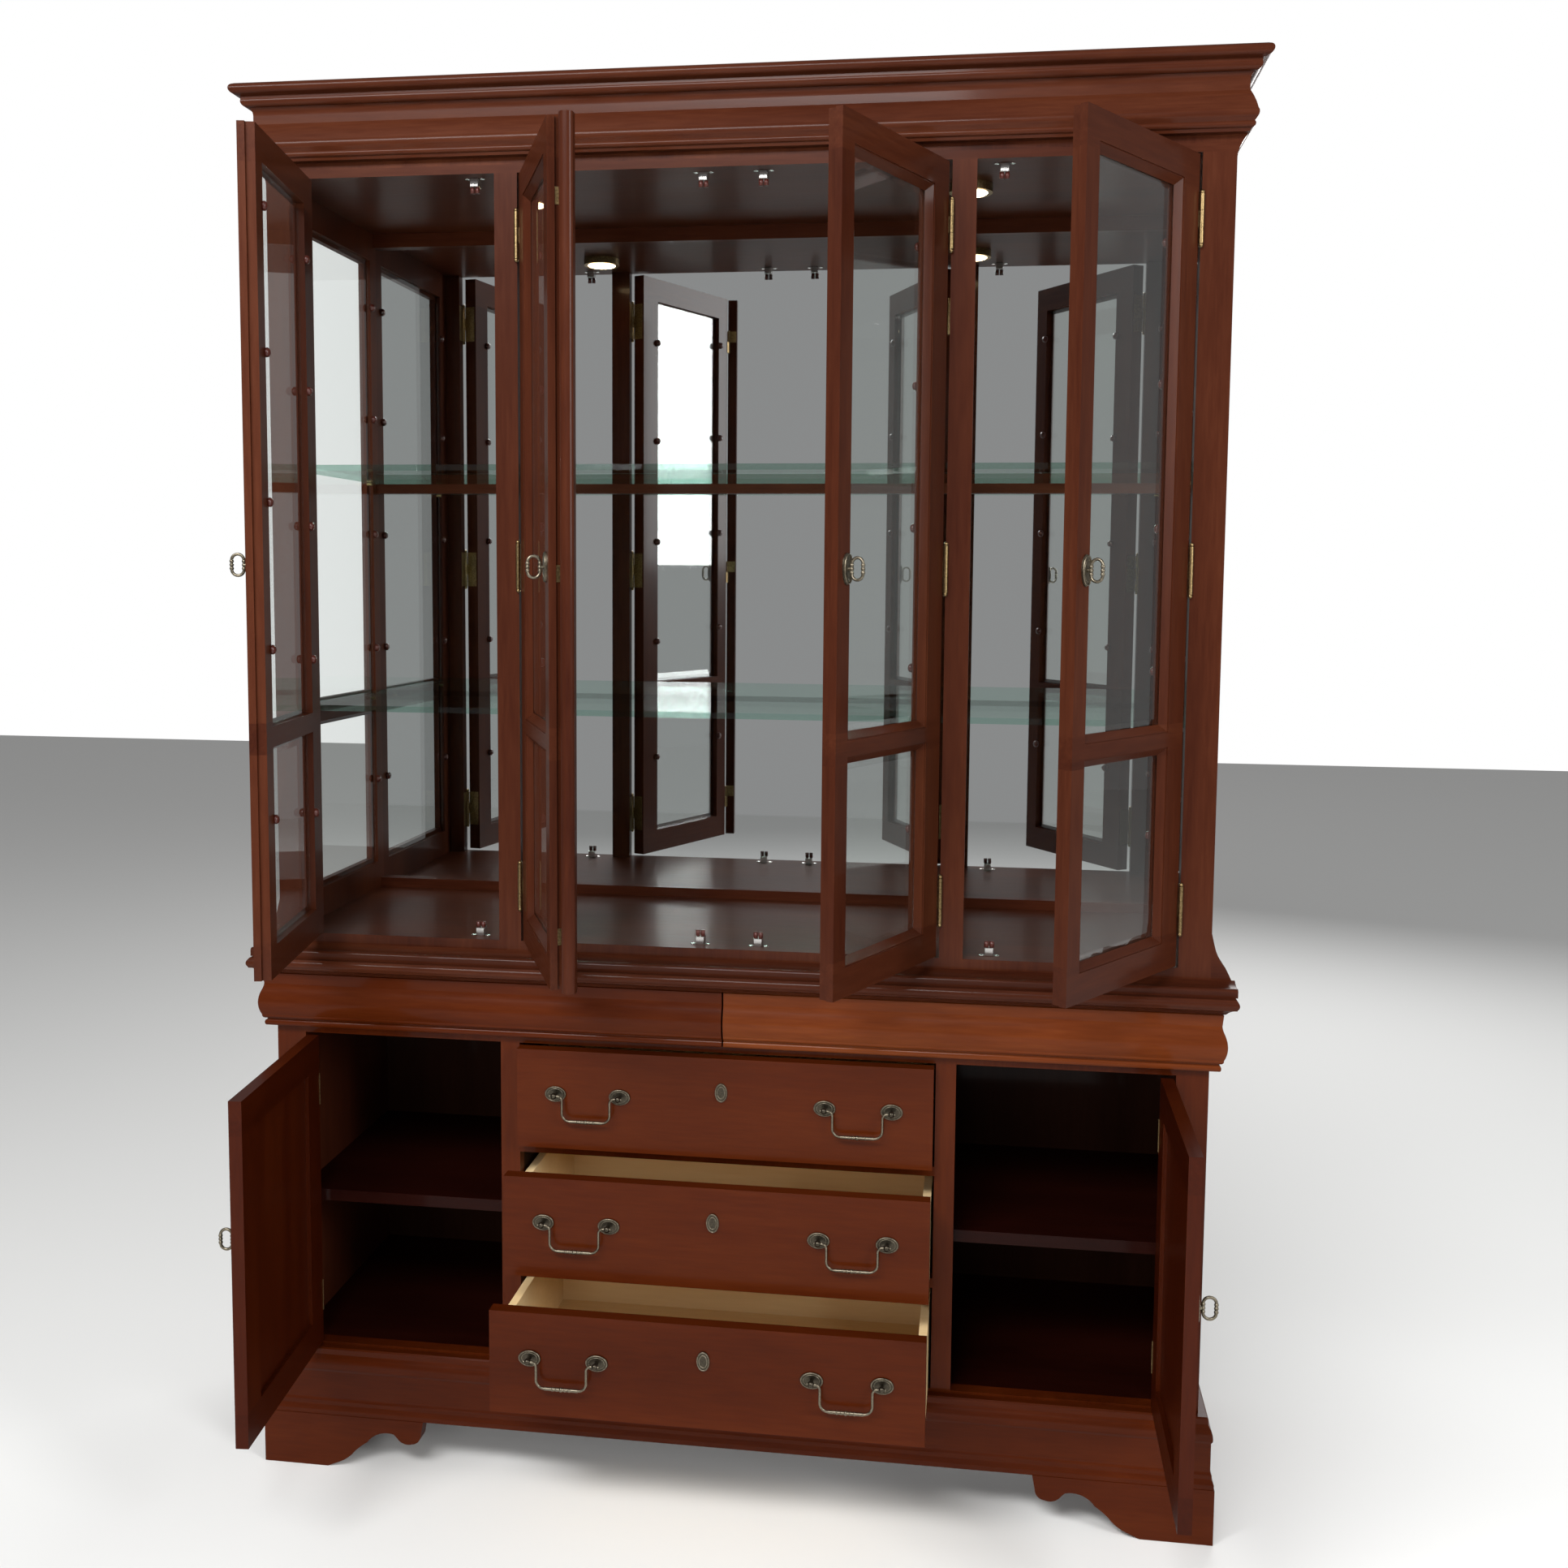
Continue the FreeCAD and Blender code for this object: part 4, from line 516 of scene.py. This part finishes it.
# %% Rims on the door plates
AXIS_OUT = 3.9 * MM
DOOR_THICKNESS = 22 * MM
DOOR_PLATE = (11 * MM, 20 * MM)
DOOR_RINGS = (("rim", 0.92, 1.0), ("line", 0.68, 0.6))
for leaf in HUTCH_LEAVES + CUPBOARD_LEAVES:
    corner_a, corner_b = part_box(leaf.body + "_pull")
    centre = (corner_a + corner_b) / 2
    along = (centre - leaf.hinge).dot(leaf.along)
    for part, share, thickness in DOOR_RINGS:
        spot = leaf.at(along, AXIS_OUT - PLATE, centre.z)
        rim = oval_rim(f"{leaf.body}_plate_{part}", spot, leaf.along, DOOR_PLATE[0] * share,
                       DOOR_PLATE[1] * share, BEAD * thickness)
        add_piece(rim, leaf.body, rubbed)
print("rims on the doors")

# %% [markdown]
# The panes lie in a rebate that is open to the inside. Small red-brown buttons, screwed to the wood, lap
# over the edge of the glass and keep it there: four up each side of the tall pane and one on each side
# of the short one. One dome profile, turned again at every place, gives them all.

# %% Buttons that hold the panes
button_red = Graph("button_red").set(Base_Color=(0.060, 0.010, 0.006, 1), Roughness=0.3).material
BUTTON = dome(6.5 * MM, 7 * MM)
BUTTON_SIDES = 16
HINGE_GAP = 1.5 * MM
FREE_EDGE = 299 * MM
HINGE_STILE = 54 * MM
MEETING_STILE = 42 * MM
REBATE = 7 * MM
BUTTON_INSET = 3 * MM
FREE_SIDE_LIFT = 24 * MM
TALL_PANE_SHARES = (0.10, 0.37, 0.64, 0.90)
SHORT_PANE_SHARE = 0.55
DOOR_FLOOR = low("hutch_door_left_frame").z
DOOR_TOP = high("hutch_door_left_frame").z
LOWER_PANE = (DOOR_FLOOR + HUTCH_RAIL, DOOR_FLOOR + MIDDLE_RAIL[0])
UPPER_PANE = (DOOR_FLOOR + MIDDLE_RAIL[1], DOOR_TOP - HUTCH_RAIL)
LEVELS = [UPPER_PANE[0] + (UPPER_PANE[1] - UPPER_PANE[0]) * share for share in TALL_PANE_SHARES]
LEVELS.append(LOWER_PANE[0] + (LOWER_PANE[1] - LOWER_PANE[0]) * SHORT_PANE_SHARE)
EDGES = (HINGE_GAP + HINGE_STILE - REBATE - BUTTON_INSET, FREE_EDGE - MEETING_STILE + REBATE + BUTTON_INSET)
for leaf in HUTCH_LEAVES:
    for side, edge in enumerate(EDGES):
        for index, z in enumerate(LEVELS):
            spot = leaf.at(edge, AXIS_OUT + DOOR_THICKNESS, z + FREE_SIDE_LIFT * side)
            button = turned(f"{leaf.body}_button_{side}{index}", BUTTON, spot, leaf.inward, BUTTON_SIDES)
            add_piece(button, leaf.body, button_red)
print("buttons on", len(HUTCH_LEAVES), "doors at", len(LEVELS), "heights")

# %% [markdown]
# The glazed sides of the hutch are held the same way, from inside, at the same heights as the doors.

# %% Buttons on the glazed sides
CASE_INSIDE = 674 * MM
BACK = high("back_panels").y
FRONT_STILE_BACK = 320 * MM
REAR_STILE_FRONT = 42 * MM
SIDE_EDGES = (BACK - FRONT_STILE_BACK - REBATE - BUTTON_INSET,
              BACK - REAR_STILE_FRONT + REBATE + BUTTON_INSET)
for side in (-1, 1):
    for edge, y in enumerate(SIDE_EDGES):
        for index, z in enumerate(LEVELS):
            button = turned(f"side_button_{side + 1}{edge}{index}", BUTTON, (side * CASE_INSIDE, y, z),
                            (-side, 0, 0), BUTTON_SIDES)
            add_piece(button, "case", button_red)
print("buttons round the side panes")

# %% [markdown]
# A hinge leaf is held by three screws in the edge of the door and three in the case. Their heads stand
# hardly proud of the leaf, since the two leaves lie face to face when the door is shut; a higher dome
# would run into the one across from it.

# %% Screws in the hinge leaves
SCREW = dome(3.1 * MM, 0.12 * MM)
SCREW_SIDES = 12
LEAF = 0.6 * MM
LEAF_ON_DOOR = 0.9 * MM
LEAF_MIDDLE = AXIS_OUT + 10.5 * MM
HUTCH_SPREAD = 22 * MM
CUPBOARD_SPREAD = 15 * MM
HUTCH_HINGE_INSETS = (81 * MM, 86 * MM)
CUPBOARD_HINGE_INSETS = (73 * MM, 84 * MM)


def hinge_screws(leaf, levels, spread):
    """Three screws in the door's leaf and three in the case's, at each hinge."""
    for index, z in enumerate(levels):
        for step in (-1, 0, 1):
            height = z + step * spread
            on_door = turned(f"{leaf.body}_screw_{index}{step + 1}", SCREW,
                             leaf.at(LEAF_ON_DOOR, LEAF_MIDDLE, height), -leaf.along, SCREW_SIDES)
            add_piece(on_door, leaf.body, hinge_brass)
            place = Vector((leaf.hinge.x + leaf.hand * LEAF, leaf.hinge.y + LEAF_MIDDLE, height))
            on_case = turned(f"{leaf.body}_case_screw_{index}{step + 1}", SCREW, place,
                             (leaf.hand, 0, 0), SCREW_SIDES)
            add_piece(on_case, "case", hinge_brass)


for leaf in HUTCH_LEAVES:
    lowest, highest = DOOR_FLOOR + HUTCH_HINGE_INSETS[0], DOOR_TOP - HUTCH_HINGE_INSETS[1]
    hinge_screws(leaf, (lowest, (lowest + highest) / 2, highest), HUTCH_SPREAD)
for leaf in CUPBOARD_LEAVES:
    bottom, top = low(leaf.body + "_wood").z, high(leaf.body + "_wood").z
    levels = (bottom + CUPBOARD_HINGE_INSETS[0], top - CUPBOARD_HINGE_INSETS[1])
    hinge_screws(leaf, levels, CUPBOARD_SPREAD)
print("screws in every hinge")

# %% [markdown]
# Each door shuts against two catches, one on the sill and one under the ceiling: two dark rollers in a
# bright steel strap with a screw at each end. The strap is a bevelled block round the CAD's catch body,
# because a sharp box would catch no line of light along its edges.

# %% Catches
steel = Graph("bright_steel").set(Base_Color=(0.62, 0.60, 0.58, 1), Metallic=1.0, Roughness=0.25).material
DOOR_CLEARANCE = 3 * MM
SILL = DOOR_FLOOR - DOOR_CLEARANCE
CEILING = DOOR_TOP + DOOR_CLEARANCE
CATCH_FRONT = BACK - 359.4 * MM
CATCH = (12 * MM, 16 * MM, 12 * MM)
CATCH_PLACES = (("outer", 382.5 * MM), ("inner", 43.5 * MM))
CATCH_TIERS = (("low", SILL + CATCH[2], 1), ("high", CEILING - CATCH[2], -1))
ROLLER = [(0, 0), (3.4 * MM, 0), (3.4 * MM, 9 * MM), (0, 9 * MM)]
ROLLER_APART, ROLLER_BACK = 3.8 * MM, 6 * MM
EAR = dome(4 * MM, 1.6 * MM)
EAR_APART, EAR_BACK = 11 * MM, 5 * MM
CATCH_SIDES = 14
STRAP = 0.4 * MM
STRAP_EDGE = 1.2 * MM


def rounded_block(name, centre, sizes, edge):
    """A block with rounded edges, from its middle and its three sizes."""
    mesh = bpy.data.meshes.new(name)
    shell = bmesh.new()
    bmesh.ops.create_cube(shell, size=1.0)
    bmesh.ops.scale(shell, vec=sizes, verts=shell.verts)
    bmesh.ops.bevel(shell, geom=shell.edges[:], offset=edge, segments=3, profile=0.5, affect="EDGES")
    bmesh.ops.translate(shell, vec=centre, verts=shell.verts)
    shell.to_mesh(mesh)
    shell.free()
    return place_mesh(mesh)


for place, x in CATCH_PLACES:
    for side in (-1, 1):
        for tier, z, up in CATCH_TIERS:
            middle = (side * x, CATCH_FRONT + CATCH[1] / 2, z - up * CATCH[2] / 2)
            strap = rounded_block(f"catch_strap_{place}_{tier}_{side + 1}", middle,
                                  tuple(size + 2 * STRAP for size in CATCH), STRAP_EDGE)
            add_piece(strap, "case", steel)
            for pair in (-1, 1):
                spot = (side * x + pair * ROLLER_APART, CATCH_FRONT + ROLLER_BACK, z)
                roller = turned(f"catch_roller_{place}_{tier}_{side + 1}{pair + 1}", ROLLER, spot,
                                (0, 0, up), CATCH_SIDES)
                add_piece(roller, "case", button_red)
                ear = (side * x + pair * EAR_APART, CATCH_FRONT + EAR_BACK, z - up * CATCH[2])
                screw = turned(f"catch_ear_{place}_{tier}_{side + 1}{pair + 1}", EAR, ear,
                               (0, 0, up), CATCH_SIDES)
                add_piece(screw, "case", steel)
print("catches with their rollers and screws")

# %% [markdown]
# The two lamps in the ceiling are lit. A lens that gives off light itself is enough to show as a warm disc
# in the ceiling and again in the mirror; a Blender lamp inside it would need a hollow housing.

# %% Lenses of the lamps
LENS = [(0, 0), (25 * MM, 0), (23 * MM, 1.5 * MM), (0, 2.5 * MM)]
LENS_SIDES = 32
LAMP_RADIUS = 32 * MM
lens_glow = Graph("lamp_lens").set(Base_Color=(1, 0.85, 0.6, 1), Emission_Color=(1.0, 0.72, 0.38, 1),
                                   Emission_Strength=16.0).material
lamp_low, lamp_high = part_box("ceiling_lights")
lamp_y = (lamp_low.y + lamp_high.y) / 2
for side in (-1, 1):
    centre = (side * (lamp_high.x - LAMP_RADIUS), lamp_y, lamp_low.z)
    lens_disc = turned(f"lamp_lens_{side + 1}", LENS, centre, (0, 0, -1), LENS_SIDES)
    add_piece(lens_disc, "case", lens_glow)
print("two lit lamps")

# %% [markdown]
# The floor is a pale plane that runs on far behind the cabinet, a hair below its feet. Four large soft
# lamps stand where studio lamps would: a wide one high in front, one on the right, one low in front and
# one behind. The low one only fills the shadows, so reflections leave it out; lacquer and glass would
# show it as a bright square. The world is even and white: strong where the camera sees it as backdrop,
# weaker as light, so that it doesn't wash out the dark wood.

# %% Floor and light
def soft_lamp(name, place, aim, size, power):
    """A rectangular area lamp that looks at a point."""
    data = bpy.data.lights.new(name, "AREA")
    data.shape = "RECTANGLE"
    data.size, data.size_y = size
    data.energy = power
    lamp = bpy.data.objects.new(name, data)
    bpy.context.scene.collection.objects.link(lamp)
    lamp.location = place
    lamp.rotation_euler = (Vector(aim) - Vector(place)).to_track_quat("-Z", "Y").to_euler()
    return lamp


FLOOR_SIZE, FLOOR_BACK, FLOOR_DROP = 16, 2.0, 0.5 * MM
bpy.ops.mesh.primitive_plane_add(size=FLOOR_SIZE, location=(0, FLOOR_BACK, -FLOOR_DROP))
floor = bpy.context.object
floor.name = "floor"
pale = Graph("pale_floor").set(Base_Color=(0.80, 0.80, 0.79, 1), Roughness=0.9)
floor.data.materials.append(pale.material)
MIDDLE = (0, 0, 1.05)
soft_lamp("key_lamp", (-0.9, -2.8, 3.3), MIDDLE, (2.6, 0.8), 150)
soft_lamp("side_lamp", (2.8, -2.2, 2.2), MIDDLE, (1.0, 1.6), 75)
front_lamp = soft_lamp("front_lamp", (-0.6, -4.2, 1.5), MIDDLE, (2.2, 2.0), 60)
front_lamp.visible_glossy = False
soft_lamp("back_lamp", (1.2, 3.4, 2.6), MIDDLE, (2.0, 2.0), 70)
WORLD_LIGHT, BACKDROP = 0.30, 1.0
world = bpy.data.worlds.new("studio")
bpy.context.scene.world = world
world.use_nodes = True
sky = world.node_tree
seen = sky.nodes.new("ShaderNodeLightPath")
strength = sky.nodes.new("ShaderNodeMapRange")
strength.inputs["To Min"].default_value = WORLD_LIGHT
strength.inputs["To Max"].default_value = BACKDROP
sky.links.new(seen.outputs["Is Camera Ray"], strength.inputs["Value"])
sky.links.new(strength.outputs["Result"], sky.nodes["Background"].inputs["Strength"])
sky.nodes["Background"].inputs["Color"].default_value = (1, 1, 1, 1)
print("studio ready")

# %% [markdown]
# The camera stands a little right of the middle at eye height and looks slightly left and down. Its turn
# is written as three angles and built up as a matrix, which keeps the small roll exact; aiming it with a
# constraint would lose it. The lens shift puts the optical centre where it belongs in the frame, and
# depth of field is off, so every part is sharp.

# %% Camera
MIRROR_FRONT = high("back_panels").y - 10 * MM
EYE = Vector((0.3626, MIRROR_FRONT - 2.5884, 1.3677))
YAW, PITCH, ROLL = math.radians(-8.021), math.radians(-4.907), math.radians(0.428)
SENSOR, FOCAL_LENGTH = 36.0, 35.6478
SHIFT_X, SHIFT_Y = 0.014234, -0.044306
forward = Vector((math.sin(YAW) * math.cos(PITCH), math.cos(YAW) * math.cos(PITCH), math.sin(PITCH)))
level = Vector((math.cos(YAW), -math.sin(YAW), 0))
upward = level.cross(forward)
right = level * math.cos(ROLL) + upward * math.sin(ROLL)
top = upward * math.cos(ROLL) - level * math.sin(ROLL)
lens = bpy.data.cameras.new("camera")
lens.sensor_width = SENSOR
lens.lens = FOCAL_LENGTH
lens.shift_x, lens.shift_y = SHIFT_X, SHIFT_Y
camera = bpy.data.objects.new("camera", lens)
camera.matrix_world = Matrix((right, top, -forward)).transposed().to_4x4()
camera.location = EYE
bpy.context.scene.collection.objects.link(camera)
bpy.context.scene.camera = camera
bpy.context.scene.view_settings.view_transform = "Standard"
print("camera at", [round(v, 3) for v in EYE])
